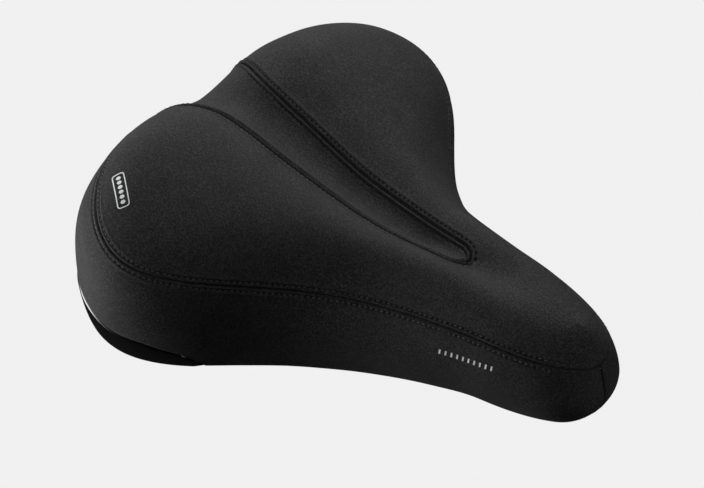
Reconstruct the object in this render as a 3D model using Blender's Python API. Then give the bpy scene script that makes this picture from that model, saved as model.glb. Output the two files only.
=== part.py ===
"""Wide comfort bicycle saddle with a stretch fabric cover, foam and gel padding, a moulded base,
a one-piece bent rail, and two rubber elastomers that let the rear of the seat sink a few millimetres.

Drawing coordinates are millimetres: x forward to the nose, y to the left, z up, with z = 0 on the
saddle's waist line (its widest contour) and x = 0 in the middle of its length.
The finished parts are in metres with the origin in the middle of the rail's clamping length.
"""
import math

import bmesh
import bpy
import numpy as np
from mathutils import Matrix, Vector
from mathutils.bvhtree import BVHTree
from mathutils.geometry import delaunay_2d_cdt

for old in list(bpy.data.objects):
    bpy.data.objects.remove(old, do_unlink=True)

# ----------------------------------------------------------------------------- driving dimensions (mm)
CLAMP_X = -14.0          # middle of the straight clamping length of the rail
RAIL_Z = -41.0           # axis height of the clamping length
RAIL_R = 3.5             # 7 mm rod
RAIL_HALF_GAUGE = 22.0   # rails are 44 mm apart, centre to centre

COVER = 1.2              # cover fabric with its foam backing
GAP = 0.3                # clearance between touching pieces
SEAM_GAP = 0.25          # each panel stops this far from its seam line
GUARD = 2.4              # wall of the rear guard
SHELL = 3.0              # wall of the moulded base
HEM = 4.5                # width of cover turned under the base
NECK_HEM = 2.5           # the same from the neck forward, where the rails run close by
GUARD_LIP = 8.0          # width of guard turned under the base
GUARD_END = 5.15         # station where the rear guard ends, on each side

# Lofting table: one row for each station, from the middle of the rear edge round the left side to the
# nose tip. x, y: waist outline. w: waist height. f: side seam height, as a fraction of the crown.
# b: lower edge height. e: how far the lower edge tucks in. p, q: fullness of the crown section.
STATIONS = [
    # x      y      w     f     b      e     p     q
    (-130.0, 0.0, 0.0, 0.50, -38.0, 8.0, 2.95, 1.75),
    (-128.5, 42.0, -0.5, 0.53, -38.0, 8.0, 2.9, 1.75),
    (-121.0, 69.5, 1.0, 0.63, -38.0, 8.0, 2.85, 2.0),
    (-104.0, 95.0, 1.0, 0.63, -39.5, 6.5, 2.95, 2.5),
    (-73.0, 107.5, 1.0, 0.45, -41.5, 11.5, 2.65, 2.5),
    (-43.5, 93.0, -2.0, 0.40, -42.0, 13.0, 2.65, 2.4),
    (-21.5, 69.0, -5.0, 0.35, -43.0, 12.0, 2.65, 1.8),
    (13.0, 44.0, -7.0, 0.35, -42.5, 12.5, 2.75, 1.3),
    (55.5, 32.0, -1.5, 0.41, -34.0, 13.0, 3.0, 1.6),
    (76.5, 29.5, 1.5, 0.47, -29.0, 12.5, 2.9, 1.75),
    (111.5, 22.0, -2.0, 0.56, -25.5, 14.0, 2.25, 1.45),
    (124.0, 0.0, -5.0, 0.52, -24.5, 13.5, 1.9, 1.35),
]
SPINE_X = [-86, -86, -85, -80, -68, -50, -26, 4, 40, 76, 100, 106]      # where each section meets the spine
CROWN = ([-95, -50, -10, 30, 70, 112], [49.0, 40.0, 34.0, 33.0, 29.5, 27.0])     # spine height
CHANNEL_X = [-130, -85, -40, 5, 45]
CHANNEL_DEPTH = [11.0, 12.0, 10.5, 11.5, 7.5]
CHANNEL_HALF = [46.0, 46.0, 40.5, 29.5, 19.5]
TONGUE = ([-135, -100, -60, -30, 0, 20], [35.5, 17.0, 12.0, 10.0, 9.0, 7.5])     # half width of the centre panel
TONGUE_TIP = 44.5
TONGUE_DIP = 2.5         # extra hollow of the centre panel between its seams
GUARD_EDGE = ([0, 2, 3, 3.5, 4, 4.4, 4.7, 4.93, 5.1, 5.3, 6.2, 11],
              [0.42, 0.42, 0.44, 0.50, 0.575, 0.585, 0.66, 0.74, 0.88, 0.90, 0.62, 0.62])

BASE_FOOT_X = [-86, -86, -85, -80, -68, -50, -26, 4, 40, 66, 84, 90]    # where the base's sections meet
BASE_TOP = ([-130, 0, 30, 60, 112], [-6.0, -6.0, -8.0, -14.0, -14.0])   # height of the base's flat top

HINGE_X, HINGE_Z = 82.0, -21.5      # the rail's front loop rocks in the nose here
LOOP_X, LOOP_R = 78.0, 8.0          # centre and radius of the loop
BOLT_X, BOLT_Y = -80.0, 42.0
BOSS_R, BOSS_Z = 15.0, -12.0
BRIDGE_TOP, BRIDGE_T = -32.0, 3.0
GUARD_SCREW_T = 1.25
NOSE_SCREWS = (70.0, 94.0)

NS = len(STATIONS)
TOTAL = 2.0 * (NS - 1)


# ----------------------------------------------------------------------------- splines
def ring_spline(values, odd):
    """A closed cubic through the stations and their mirror images."""
    v = [float(a) for a in values]
    s = -1.0 if odd else 1.0
    y = np.array(v + [s * a for a in v[-2:0:-1]])
    n = len(y)
    m = np.zeros((n, n))
    r = np.zeros(n)
    for i in range(n):
        m[i, i] = 4.0
        m[i, (i - 1) % n] = 1.0
        m[i, (i + 1) % n] = 1.0
        r[i] = 6.0 * (y[i - 1] - 2.0 * y[i] + y[(i + 1) % n])
    k = np.linalg.solve(m, r)

    def f(t):
        t = np.mod(np.asarray(t, float), n)
        i = np.floor(t).astype(int) % n
        j = (i + 1) % n
        b = t - np.floor(t)
        a = 1.0 - b
        return a * y[i] + b * y[j] + ((a ** 3 - a) * k[i] + (b ** 3 - b) * k[j]) / 6.0

    return f


def cubic_spline(xs, ys, level_ends=False):
    """A cubic through the points, with free ends, or with level ends that carry on level."""
    x = np.array(xs, float)
    y = np.array(ys, float)
    n = len(x)
    h = np.diff(x)
    m = np.eye(n)
    r = np.zeros(n)
    for i in range(1, n - 1):
        m[i, i - 1:i + 2] = (h[i - 1], 2 * (h[i - 1] + h[i]), h[i])
        r[i] = 6 * ((y[i + 1] - y[i]) / h[i] - (y[i] - y[i - 1]) / h[i - 1])
    if level_ends:
        m[0, :2] = (2 * h[0], h[0])
        r[0] = 6 * (y[1] - y[0]) / h[0]
        m[-1, -2:] = (h[-1], 2 * h[-1])
        r[-1] = -6 * (y[-1] - y[-2]) / h[-1]
    k = np.linalg.solve(m, r)

    def f(t):
        t = np.asarray(t, float)
        if level_ends:
            t = np.clip(t, x[0], x[-1])
        i = np.clip(np.searchsorted(x, t, side="right") - 1, 0, n - 2)
        a = (x[i + 1] - t) / h[i]
        b = (t - x[i]) / h[i]
        return a * y[i] + b * y[i + 1] + ((a ** 3 - a) * k[i] + (b ** 3 - b) * k[i + 1]) * h[i] ** 2 / 6

    return f


def even_slope(xs, ys):
    """A cubic that never overshoots its points (Fritsch and Carlson)."""
    x = np.array(xs, float)
    y = np.array(ys, float)
    h = np.diff(x)
    d = np.diff(y) / h
    m = np.zeros(len(x))
    for i in range(1, len(x) - 1):
        if d[i - 1] * d[i] > 0:
            w1, w2 = 2 * h[i] + h[i - 1], h[i] + 2 * h[i - 1]
            m[i] = (w1 + w2) / (w1 / d[i - 1] + w2 / d[i])
    for i, a, b in ((0, 0, 1), (len(x) - 1, -1, -2)):
        e = ((2 * h[a] + h[b]) * d[a] - h[a] * d[b]) / (h[a] + h[b])
        if e * d[a] <= 0:
            e = 0.0
        elif d[a] * d[b] <= 0 and abs(e) > 3 * abs(d[a]):
            e = 3 * d[a]
        m[i] = e

    def f(t):
        t = np.clip(np.asarray(t, float), x[0], x[-1])
        i = np.clip(np.searchsorted(x, t, side="right") - 1, 0, len(x) - 2)
        u = (t - x[i]) / h[i]
        return ((1 + 2 * u) * (1 - u) ** 2 * y[i] + u * (1 - u) ** 2 * h[i] * m[i]
                + u * u * (3 - 2 * u) * y[i + 1] + u * u * (u - 1) * h[i] * m[i + 1])

    return f


def column(i):
    return [row[i] for row in STATIONS]


WX, WY = ring_spline(column(0), False), ring_spline(column(1), True)
WZ, SEAM_F, LOW_Z, TUCK, PP, QQ = (ring_spline(column(i), False) for i in range(2, 8))
spine_half = even_slope(range(NS), SPINE_X)
foot_half = even_slope(range(NS), BASE_FOOT_X)
crown = cubic_spline(*CROWN, level_ends=True)
tongue_half = cubic_spline(*TONGUE)
depth_at = even_slope(CHANNEL_X, CHANNEL_DEPTH)
half_at = even_slope(CHANNEL_X, CHANNEL_HALF)
guard_edge = even_slope(*GUARD_EDGE)
base_top = even_slope(*BASE_TOP)


def fold(t):
    """Station number on the left half for a point anywhere round the outline."""
    t = np.mod(np.asarray(t, float), TOTAL)
    return np.where(t > NS - 1, TOTAL - t, t)


def seam_half(x):
    """Half width of the centre panel, rounded off at its tip."""
    y = tongue_half(np.clip(x, -145, TONGUE_TIP))
    r = float(tongue_half(TONGUE_TIP))
    length = 1.5 * max(r, 2.0)
    u = np.clip((x - (TONGUE_TIP - length)) / length, 0, 1)
    return np.where(x >= TONGUE_TIP, 0.0, y * np.sqrt(np.clip(1 - u ** 2, 0, 1)))


def channel(x, y):
    u = np.clip((x - TONGUE_TIP) / 45.0, 0, 1)
    fade = 1 - (3 * u ** 2 - 2 * u ** 3)
    wide = depth_at(x) * fade * np.exp(-(y / (0.6 * half_at(x))) ** 2)
    edge = np.maximum(seam_half(x), 0.5)
    dip = TONGUE_DIP * np.clip((x + 128) / 30, 0, 1) * np.clip((TONGUE_TIP - x) / 25, 0, 1)
    return wide + dip * np.clip(1 - (y / edge) ** 2, 0, 1)


def skin(t, k):
    """The saddle's outer surface. k runs from 0 on the spine to 1 at the waist and 2 at the lower edge."""
    t, k = np.broadcast_arrays(np.asarray(t, float), np.asarray(k, float))
    x0 = spine_half(fold(t))
    wx, wy, wz = WX(t), WY(t), WZ(t)
    p, q = np.clip(PP(t), 1.9, 8), np.clip(QQ(t), 1.02, 8)
    a = np.clip(k, 0, 1) * np.pi / 2
    rho = np.sin(a) ** (2 / p)
    rise = np.clip(np.cos(a), 0, 1) ** (2 / q)
    s = np.clip(k - 1, 0, None)
    length = np.hypot(wx - x0, wy)
    tuck = TUCK(t) * s ** 2 / length
    x = x0 + (wx - x0) * (rho - tuck)
    y = wy * (rho - tuck)
    z = wz + (crown(x) - wz) * rise + (LOW_Z(t) - wz) * s
    low = np.clip(rise / 0.45, 0, 1)
    z = z - channel(x, y) * low ** 2 * (3 - 2 * low)
    return np.stack([x, y, z], -1)


def skin_normal(t, k):
    e = 0.004
    dt = skin(t + e, k) - skin(t - e, k)
    dk = skin(t, np.minimum(k + e, 2.0)) - skin(t, np.maximum(k - e, 0.0))
    n = np.cross(dt, dk)
    return n / np.maximum(np.linalg.norm(n, axis=-1, keepdims=True), 1e-9)


def seam_k(t):
    """k of the side seam."""
    f = np.clip(SEAM_F(t), 0.02, 0.98)
    return np.arccos(f ** (np.clip(QQ(t), 1.02, 8) / 2)) / (np.pi / 2)


def inward(t):
    """Plan direction from the outline towards the spine."""
    d = np.stack([spine_half(fold(t)) - WX(t), -WY(t)], -1)
    return d / np.linalg.norm(d, axis=-1, keepdims=True)


# ----------------------------------------------------------------------------- height of the crown over the plan
def crown_tree():
    ts = np.linspace(0, TOTAL, 265)[:-1]
    rho = np.linspace(0, 1, 40) ** 0.8 * 0.995
    ks = np.arcsin(rho[None, :] ** (np.clip(PP(ts), 1.9, 8)[:, None] / 2)) / (np.pi / 2)
    p = skin(ts[:, None], ks)
    n, m = ks.shape
    faces = []
    for i in range(n):
        j = (i + 1) % n
        for c in range(m - 1):
            faces.append((i * m + c, i * m + c + 1, j * m + c + 1, j * m + c))
    return BVHTree.FromPolygons([tuple(v) for v in p.reshape(-1, 3)], faces)


TREE = crown_tree()


def height(x, y):
    hit = TREE.ray_cast(Vector((x, y, 200)), Vector((0, 0, -1)))
    return hit[0].z


def crown_point(x, y):
    """A point of the crown and its normal."""
    e = 1.5
    z = height(x, y)
    gx = (height(x + e, y) - height(x - e, y)) / (2 * e)
    gy = (height(x, y + e) - height(x, y - e)) / (2 * e)
    n = np.array([-gx, -gy, 1.0])
    return np.array([x, y, z]), n / np.linalg.norm(n)


# ----------------------------------------------------------------------------- meshes and objects
def drawing_to_part(p):
    return ((p[0] - CLAMP_X) / 1000.0, p[1] / 1000.0, (p[2] - RAIL_Z) / 1000.0)


FIXED = bpy.data.objects.new("rail_group", None)
PIVOT = bpy.data.objects.new("nose_pivot", None)
for empty in (FIXED, PIVOT):
    bpy.context.scene.collection.objects.link(empty)
PIVOT.location = drawing_to_part((HINGE_X, 0, HINGE_Z))

MATERIALS = {}


def material(name, colour, roughness, metallic=0.0):
    if name not in MATERIALS:
        m = bpy.data.materials.new(name)
        m.use_nodes = True
        node = m.node_tree.nodes["Principled BSDF"]
        node.inputs["Base Color"].default_value = (*colour, 1)
        node.inputs["Roughness"].default_value = roughness
        node.inputs["Metallic"].default_value = metallic
        MATERIALS[name] = m
    return MATERIALS[name]


FABRIC = material("stretch_fabric", (0.030, 0.031, 0.033), 0.9)
FABRIC_SIDE = material("side_fabric", (0.026, 0.027, 0.029), 0.9)
FOAM = material("foam", (0.18, 0.18, 0.19), 0.95)
GEL = material("gel", (0.10, 0.16, 0.28), 0.4)
SHELL_MAT = material("base_plastic", (0.02, 0.02, 0.021), 0.55)
GLOSS = material("guard_plastic", (0.008, 0.008, 0.009), 0.18)
STEEL_BLACK = material("painted_steel", (0.02, 0.02, 0.021), 0.35)
ZINC = material("zinc_steel", (0.55, 0.56, 0.58), 0.35, 1.0)
RUBBER = material("elastomer_rubber", (0.03, 0.03, 0.03), 0.8)

MOVING = []


def add(name, verts, faces, mat, moving, smooth=40.0):
    """One named solid from drawing coordinates, on the rail group or on the nose pivot."""
    base = Vector(PIVOT.location) if moving else Vector((0, 0, 0))
    mesh = bpy.data.meshes.new(name)
    mesh.from_pydata([Vector(drawing_to_part(v)) - base for v in verts], [], [tuple(f) for f in faces])
    bm = bmesh.new()
    bm.from_mesh(mesh)
    bmesh.ops.remove_doubles(bm, verts=bm.verts, dist=1e-6)
    bmesh.ops.recalc_face_normals(bm, faces=bm.faces)
    bmesh.ops.triangulate(bm, faces=[f for f in bm.faces if len(f.verts) > 4])
    bm.to_mesh(mesh)
    bm.free()
    mesh.materials.append(mat)
    mesh.shade_smooth()
    mesh.set_sharp_from_angle(angle=math.radians(smooth))
    obj = bpy.data.objects.new(name, mesh)
    bpy.context.scene.collection.objects.link(obj)
    obj.location = base if not moving else (0, 0, 0)
    obj.parent = PIVOT if moving else FIXED
    return obj


def cutter(name, verts, faces, moving):
    obj = add(name, verts, faces, SHELL_MAT, moving)
    obj.hide_render = True
    obj.display_type = "WIRE"
    return obj


def boolean(obj, other, operation="DIFFERENCE"):
    mod = obj.modifiers.new(operation.lower(), "BOOLEAN")
    mod.operation = operation
    mod.object = other
    mod.solver = "EXACT"


def turned(profile, cx, cy, segments=12, flats=0.5):
    """A solid of revolution about a vertical axis. The profile is a closed ring of (radius, z), or it
    starts and ends on the axis."""
    verts, faces = [], []
    rings = []
    for r, z in profile:
        if r < 1e-6:
            rings.append([len(verts)])
            verts.append((cx, cy, z))
        else:
            rings.append(list(range(len(verts), len(verts) + segments)))
            for i in range(segments):
                a = (i + flats) / segments * 2 * math.pi
                verts.append((cx + r * math.cos(a), cy + r * math.sin(a), z))
    closed = profile[0][0] > 1e-6
    pairs = list(zip(rings, rings[1:] + (rings[:1] if closed else [])))
    if not closed:
        pairs = list(zip(rings, rings[1:]))
    for a, b in pairs:
        for i in range(segments):
            j = (i + 1) % segments
            if len(a) == 1:
                faces.append((a[0], b[i], b[j]))
            elif len(b) == 1:
                faces.append((a[i], b[0], a[j]))
            else:
                faces.append((a[i], b[i], b[j], a[j]))
    return verts, faces


def rod(path, radius, segments=12):
    """A round bar along a path, with flat ends."""
    p = [np.array(q, float) for q in path]
    verts, faces = [], []
    for i, c in enumerate(p):
        tangent = p[min(i + 1, len(p) - 1)] - p[max(i - 1, 0)]
        tangent /= np.linalg.norm(tangent)
        side = np.cross((0, 0, 1), tangent)
        side /= np.linalg.norm(side)
        up = np.cross(tangent, side)
        for s in range(segments):
            a = (s + 0.5) / segments * 2 * math.pi
            verts.append(c + radius * (math.cos(a) * side + math.sin(a) * up))
    for i in range(len(p) - 1):
        for s in range(segments):
            u = (s + 1) % segments
            faces.append((i * segments + s, i * segments + u, (i + 1) * segments + u, (i + 1) * segments + s))
    faces.append(tuple(range(segments - 1, -1, -1)))
    last = (len(p) - 1) * segments
    faces.append(tuple(range(last, last + segments)))
    return verts, faces


def block(x0, x1, y0, y1, z0, z1, corner=0.0, steps=3):
    """An upright block with rounded vertical edges."""
    outline = []
    if corner > 0:
        for cx, cy, a0 in ((x1 - corner, y1 - corner, 0), (x0 + corner, y1 - corner, 90),
                           (x0 + corner, y0 + corner, 180), (x1 - corner, y0 + corner, 270)):
            for i in range(steps + 1):
                a = math.radians(a0 + 90 * i / steps)
                outline.append((cx + corner * math.cos(a), cy + corner * math.sin(a)))
    else:
        outline = [(x1, y1), (x0, y1), (x0, y0), (x1, y0)]
    n = len(outline)
    verts = [(x, y, z) for z in (z0, z1) for x, y in outline]
    faces = [tuple(range(n - 1, -1, -1)), tuple(range(n, 2 * n))]
    faces += [(i, (i + 1) % n, n + (i + 1) % n, n + i) for i in range(n)]
    return verts, faces


def hexagon(cx, cy, across, z0, z1):
    r = across / math.sqrt(3)
    ring = [(cx + r * math.cos(math.radians(60 * i)), cy + r * math.sin(math.radians(60 * i))) for i in range(6)]
    verts = [(x, y, z) for z in (z0, z1) for x, y in ring]
    return verts, [tuple(range(5, -1, -1)), tuple(range(6, 12))] + [
        (i, (i + 1) % 6, 6 + (i + 1) % 6, 6 + i) for i in range(6)]


# ----------------------------------------------------------------------------- the master skin
def tongue_station():
    """The station where the centre panel's edge crosses the side seam."""
    t = np.linspace(0.1, 2.0, 400)
    p = skin(t, seam_k(t))
    gap = p[:, 1] - seam_half(p[:, 0])
    i = int(np.argmax(gap > 0))
    return float(t[i])


TB = tongue_station()
half = np.concatenate([[0.0, TB / 2], np.linspace(TB, GUARD_END, 15), np.linspace(GUARD_END, NS - 1, 17)[1:]])
COLS = np.concatenate([half, TOTAL - half[-2:0:-1]])
NC = len(COLS)
NH = len(half)
C_TB, C_GE, C_NOSE = 2, 16, NH - 1     # columns at the centre panel's edge, the guard's end and the nose

g = guard_edge(fold(COLS))
ks = seam_k(COLS)
ROWS = np.stack([ks, ks + (1 - ks) * 0.5, np.ones(NC), 1 + 0.5 * g, 1 + g, 1 + 0.5 * (g + 1), np.full(NC, 2.0)])
NR = len(ROWS)
R_GUARD = 4

P = []          # master points
N = []          # and normals
SIDE = np.zeros((NR, NC), int)
for r in range(NR):
    pts, nrm = skin(COLS, ROWS[r]), skin_normal(COLS, ROWS[r])
    for c in range(NC):
        SIDE[r, c] = len(P)
        P.append(pts[c])
        N.append(nrm[c])
HEM_ROW = np.zeros(NC, int)
hem = even_slope((0, 6.2, 7.1, 11), (HEM, HEM, NECK_HEM, NECK_HEM))(fold(COLS))
width = np.where(fold(COLS) < GUARD_END + 0.01, GUARD_LIP, hem)
low = skin(COLS, np.full(NC, 2.0))
turn = inward(COLS)
for c in range(NC):
    HEM_ROW[c] = len(P)
    P.append(np.array([low[c, 0] + turn[c, 0] * width[c], low[c, 1] + turn[c, 1] * width[c], low[c, 2] + 0.4]))
    N.append(np.array([0.0, 0.0, -1.0]))


def split(a, b, c, d, column):
    """Two triangles for a quad, cut the mirrored way on the right half."""
    if column % NC < C_NOSE:
        return [(a, b, c), (a, c, d)]
    return [(a, b, d), (b, c, d)]


def side_faces(c0, c1, r0, r1, hem=False):
    out = []
    for c in range(c0, c1):
        a, b = c % NC, (c + 1) % NC
        for r in range(r0, r1):
            out += split(SIDE[r, a], SIDE[r + 1, a], SIDE[r + 1, b], SIDE[r, b], a)
        if hem:
            out += split(SIDE[NR - 1, a], HEM_ROW[a], HEM_ROW[b], SIDE[NR - 1, b], a)
    return out


# the crown inside the side seam: its points in plan, joined into triangles
plan = [tuple(P[SIDE[0, c]][:2]) for c in range(NC)]
plan_id = [SIDE[0, c] for c in range(NC)]
edges = [(c, (c + 1) % NC) for c in range(NC)]
x_start = P[SIDE[0, C_TB]][0]
xs = list(np.linspace(x_start, TONGUE_TIP - 12, 21)[1:])
for a in (25, 48, 70):
    xs.append(TONGUE_TIP - 12 + 12 * math.sin(math.radians(a)))


def seam_point(x, side):
    y = float(seam_half(np.array(x))) * side
    pt, nm = crown_point(x, y)
    P.append(pt)
    N.append(nm)
    plan.append((x, y))
    plan_id.append(len(P) - 1)
    return len(plan) - 1


left = [C_TB] + [seam_point(x, 1) for x in xs]
tip = seam_point(TONGUE_TIP - 0.01, 0)
right = [NC - C_TB] + [seam_point(x, -1) for x in xs]
chain = left + [tip] + right[::-1]
edges += list(zip(chain, chain[1:]))

loop = np.array([plan[c] for c in range(NC)])
lines = np.array([[plan[a], plan[b]] for a, b in edges])


def inside(x, y, ring):
    hit = False
    for i in range(len(ring)):
        x0, y0 = ring[i]
        x1, y1 = ring[(i + 1) % len(ring)]
        if (y0 > y) != (y1 > y) and x < (x1 - x0) * (y - y0) / (y1 - y0) + x0:
            hit = not hit
    return hit


def clearance(x, y, segments):
    a, b = segments[:, 0], segments[:, 1]
    d = b - a
    u = np.clip(((x - a[:, 0]) * d[:, 0] + (y - a[:, 1]) * d[:, 1]) / np.maximum((d ** 2).sum(1), 1e-9), 0, 1)
    return float(np.sqrt((x - a[:, 0] - u * d[:, 0]) ** 2 + (y - a[:, 1] - u * d[:, 1]) ** 2).min())


PITCH = 8.0
row = 0
gx = -128.0
while gx < 126:
    offset = 0.5 * (row % 2)
    for m in range(-14, 15):
        gy = (m + offset) * PITCH
        if inside(gx, gy, loop) and clearance(gx, gy, lines) > 3.6:
            pt, nm = crown_point(gx, gy)
            P.append(pt)
            N.append(nm)
            plan.append((gx, gy))
            plan_id.append(len(P) - 1)
    gx += PITCH * 0.866
    row += 1

cdt = delaunay_2d_cdt([Vector(q) for q in plan], edges, [], 0, 1e-5)
cdt_verts, cdt_faces, origin = cdt[0], cdt[2], cdt[3]
tongue_ring = [plan[i] for i in ([NC - 2, NC - 1, 0, 1] + left + [tip] + right[::-1][:-1])]
TOP_PANEL, TONGUE_PANEL = [], []
for f in cdt_faces:
    ids = [plan_id[origin[v][0]] for v in f]
    cx = sum(cdt_verts[v][0] for v in f) / 3
    cy = sum(cdt_verts[v][1] for v in f) / 3
    if not inside(cx, cy, loop):
        continue
    (TONGUE_PANEL if inside(cx, cy, tongue_ring) else TOP_PANEL).append(tuple(ids))

P = np.array(P)
N = np.array(N)


def patch(faces, outer, inner, shrink=0.0):
    """A closed skin from part of the master surface. outer and inner are depths under it, as numbers or
    as functions of the master point's number."""
    used = sorted({v for f in faces for v in f})
    index = {v: i for i, v in enumerate(used)}
    # turn every face the same way as the master normals
    clean = []
    for f in faces:
        a = P[f[1]] - P[f[0]]
        b = P[f[2]] - P[f[0]]
        if np.dot(np.cross(a, b), sum(N[v] for v in f)) < 0:
            f = f[::-1]
        clean.append(tuple(index[v] for v in f))
    count = {}
    for f in clean:
        for a, b in zip(f, f[1:] + f[:1]):
            count[(a, b)] = count.get((a, b), 0) + 1
    rim = [(a, b) for (a, b) in count if (b, a) not in count]
    pts = P[used].copy()
    nrm = N[used]
    push = np.zeros_like(pts)
    for a, b in rim:
        d = pts[b] - pts[a]
        for v in (a, b):
            w = np.cross(nrm[v], d)
            push[v] += w / max(np.linalg.norm(w), 1e-9)
    size = np.linalg.norm(push, axis=1, keepdims=True)
    push = np.where(size > 1e-6, push / np.maximum(size, 1e-6), 0.0)
    pts = pts + push * shrink
    top = np.array([outer(v) if callable(outer) else outer for v in used])[:, None]
    bottom = np.array([inner(v) if callable(inner) else inner for v in used])[:, None]
    n = len(used)
    verts = np.concatenate([pts - nrm * top, pts - nrm * bottom])
    out = list(clean) + [tuple(n + v for v in f[::-1]) for f in clean]
    out += [(b, a, n + a, n + b) for a, b in rim]
    return verts, out, index


# ----------------------------------------------------------------------------- cover and rear guard
v, f, _ = patch(TOP_PANEL, 0.0, COVER, SEAM_GAP)
add("cover_top_panel", v, f, FABRIC, True)

rear_strip = side_faces(-C_TB, C_TB, 0, R_GUARD)
v, f, _ = patch(TONGUE_PANEL + rear_strip, 0.0, COVER, SEAM_GAP)
add("cover_centre_panel", v, f, FABRIC, True)

for name, c0, ge, c1 in (("cover_side_left", C_TB, C_GE, C_NOSE),
                         ("cover_side_right", NC - C_TB, NC - C_GE, NC - C_NOSE)):
    lo, hi = min(c0, c1), max(c0, c1)
    if lo == c0:
        faces = side_faces(c0, ge, 0, R_GUARD) + side_faces(ge, c1, 0, NR - 1, True)
    else:
        faces = side_faces(c1, ge, 0, NR - 1, True) + side_faces(ge, c0, 0, R_GUARD)
    v, f, _ = patch(faces, 0.0, COVER, SEAM_GAP)
    add(name, v, f, FABRIC_SIDE, True)

guard_faces = side_faces(-C_GE, C_GE, R_GUARD, NR - 1, True)
v, f, _ = patch(guard_faces, 0.0, GUARD, 2 * SEAM_GAP)
guard = add("rear_guard", v, f, GLOSS, True)

# ----------------------------------------------------------------------------- moulded base
# Its sections run from the rim inwards: a flat flange, a steep wall, then the flat top.
FEET = foot_half(fold(COLS))


def rim_at(dz, deep):
    """Points of the skin dz above the lower edge, moved inwards by deep."""
    wz, lz = WZ(COLS), LOW_Z(COLS)
    s = 1 - dz / (wz - lz)
    q = skin(COLS, 1 + s)
    d = inward(COLS)
    return np.stack([q[:, 0] + d[:, 0] * deep, q[:, 1] + d[:, 1] * deep, lz + dz], -1)


in_guard = fold(COLS) < GUARD_END + 0.2
rim_deep = np.where(in_guard, GUARD + 1.6, COVER + 1.4)
RIM_Z = 6.2
rim = rim_at(RIM_Z, rim_deep)
to_foot = np.stack([FEET - rim[:, 0], -rim[:, 1]], -1)
reach = np.linalg.norm(to_foot, axis=1)
to_foot /= reach[:, None]
flange = np.where(in_guard, 7.0, np.where(fold(COLS) > 6.7, 1.2, 3.5))
top_z = base_top(FEET + 0.0)
wall = np.maximum(top_z - rim[:, 2], 0.5) * 0.42
scale = np.minimum(1.0, (reach - 2.0) / (flange + wall))
d1, d2 = flange * scale, (flange + wall) * scale


def section(deep):
    """The base's section at each column, deep millimetres under its upper surface."""
    slope = np.arctan2(top_z - rim[:, 2], d2 - d1)
    m = np.tan(slope / 2) * deep
    rows = []
    rows.append(rim_at(RIM_Z - deep, rim_deep))
    for dist, z in ((d1 + m, rim[:, 2]), (d2 + m, top_z)):
        q = rim[:, :2] + to_foot * dist[:, None]
        rows.append(np.concatenate([q, (z - deep)[:, None]], 1))
    foot = np.stack([FEET, np.zeros(NC), base_top(FEET) - deep], 1)
    rows.append(foot)
    return rows


def joined_rows(rows, start):
    verts = [tuple(p) for r in rows for p in r]
    faces = []
    for r in range(len(rows) - 1):
        for c in range(NC):
            d = (c + 1) % NC
            i, j, k, m = start + r * NC + c, start + (r + 1) * NC + c, start + (r + 1) * NC + d, start + r * NC + d
            faces += split(i, j, k, m, c)
    return verts, faces


up, down = section(0.0), section(SHELL)
va, fa = joined_rows(up, 0)
vb, fb = joined_rows(down, len(va))
verts = va + vb
faces = fa + [q[::-1] for q in fb]
faces += [(c, (c + 1) % NC, len(va) + (c + 1) % NC, len(va) + c) for c in range(NC)]
shell = add("base_shell", verts, faces, SHELL_MAT, True)
for i, s in enumerate((1, -1)):
    boss = cutter("boss_%d" % i, *turned([(0, BOSS_Z), (BOSS_R, BOSS_Z), (BOSS_R, -7.4), (0, -7.4)],
                                         BOLT_X, s * BOLT_Y, 16), True)
    boolean(shell, boss, "UNION")
    hole = cutter("bolt_hole_%d" % i, *turned([(0, -20), (3.3, -20), (3.3, 0), (0, 0)], BOLT_X, s * BOLT_Y), True)
    boolean(shell, hole)

gs = skin(np.array([GUARD_SCREW_T]), np.array([2.0]))[0]
gd = inward(np.array([GUARD_SCREW_T]))[0]
GSX, GSY, GSZ = gs[0] + gd[0] * 5.2, gs[1] + gd[1] * 5.2, gs[2]
for i, s in enumerate((1, -1)):
    hole = cutter("guard_hole_%d" % i, *turned([(0, GSZ - 8), (1.75, GSZ - 8), (1.75, GSZ + 5.8), (0, GSZ + 5.8)],
                                               GSX, s * GSY, 10), True)
    boolean(shell, hole)
    boolean(guard, hole)

# ----------------------------------------------------------------------------- foam and gel
FOAM_DEPTH = COVER + GAP


foam_top = TOP_PANEL + TONGUE_PANEL + side_faces(0, NC, 0, R_GUARD - 1)
used = sorted({v for q in foam_top for v in q})
index = {v: i for i, v in enumerate(used)}
verts = [tuple(P[v] - N[v] * FOAM_DEPTH) for v in used]
faces = []
for q in foam_top:
    a, b = P[q[1]] - P[q[0]], P[q[2]] - P[q[0]]
    if np.dot(np.cross(a, b), sum(N[v] for v in q)) < 0:
        q = q[::-1]
    faces.append(tuple(index[v] for v in q))
lower = [index[SIDE[R_GUARD - 1, c]] for c in range(NC)]
foam_rim = rim_at(RIM_Z + 0.6, rim_deep + 0.3)
rim_s = 1 - (RIM_Z + 0.6) / (WZ(COLS) - LOW_Z(COLS))
mid_k = 1 + 0.5 * (0.5 * g + rim_s)
middle = skin(COLS, mid_k) - skin_normal(COLS, mid_k) * np.where(in_guard, GUARD + 1.1, FOAM_DEPTH + 0.4)[:, None]
under = section(-0.45)
under[0] = foam_rim
under.insert(0, middle)
start = len(verts)
vu, fu = joined_rows(under, start)
verts += vu
faces += [q[::-1] for q in fu]
faces += [(lower[c], start + c, start + (c + 1) % NC, lower[(c + 1) % NC]) for c in range(NC)]
foam = add("foam_pad", verts, faces, FOAM, True)

GEL_X, GEL_Y, GEL_A, GEL_B, GEL_TURN = -72.0, 57.0, 31.0, 21.0, 18.0
GEL_TOP, GEL_LOW = 2.4, 9.5


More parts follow.
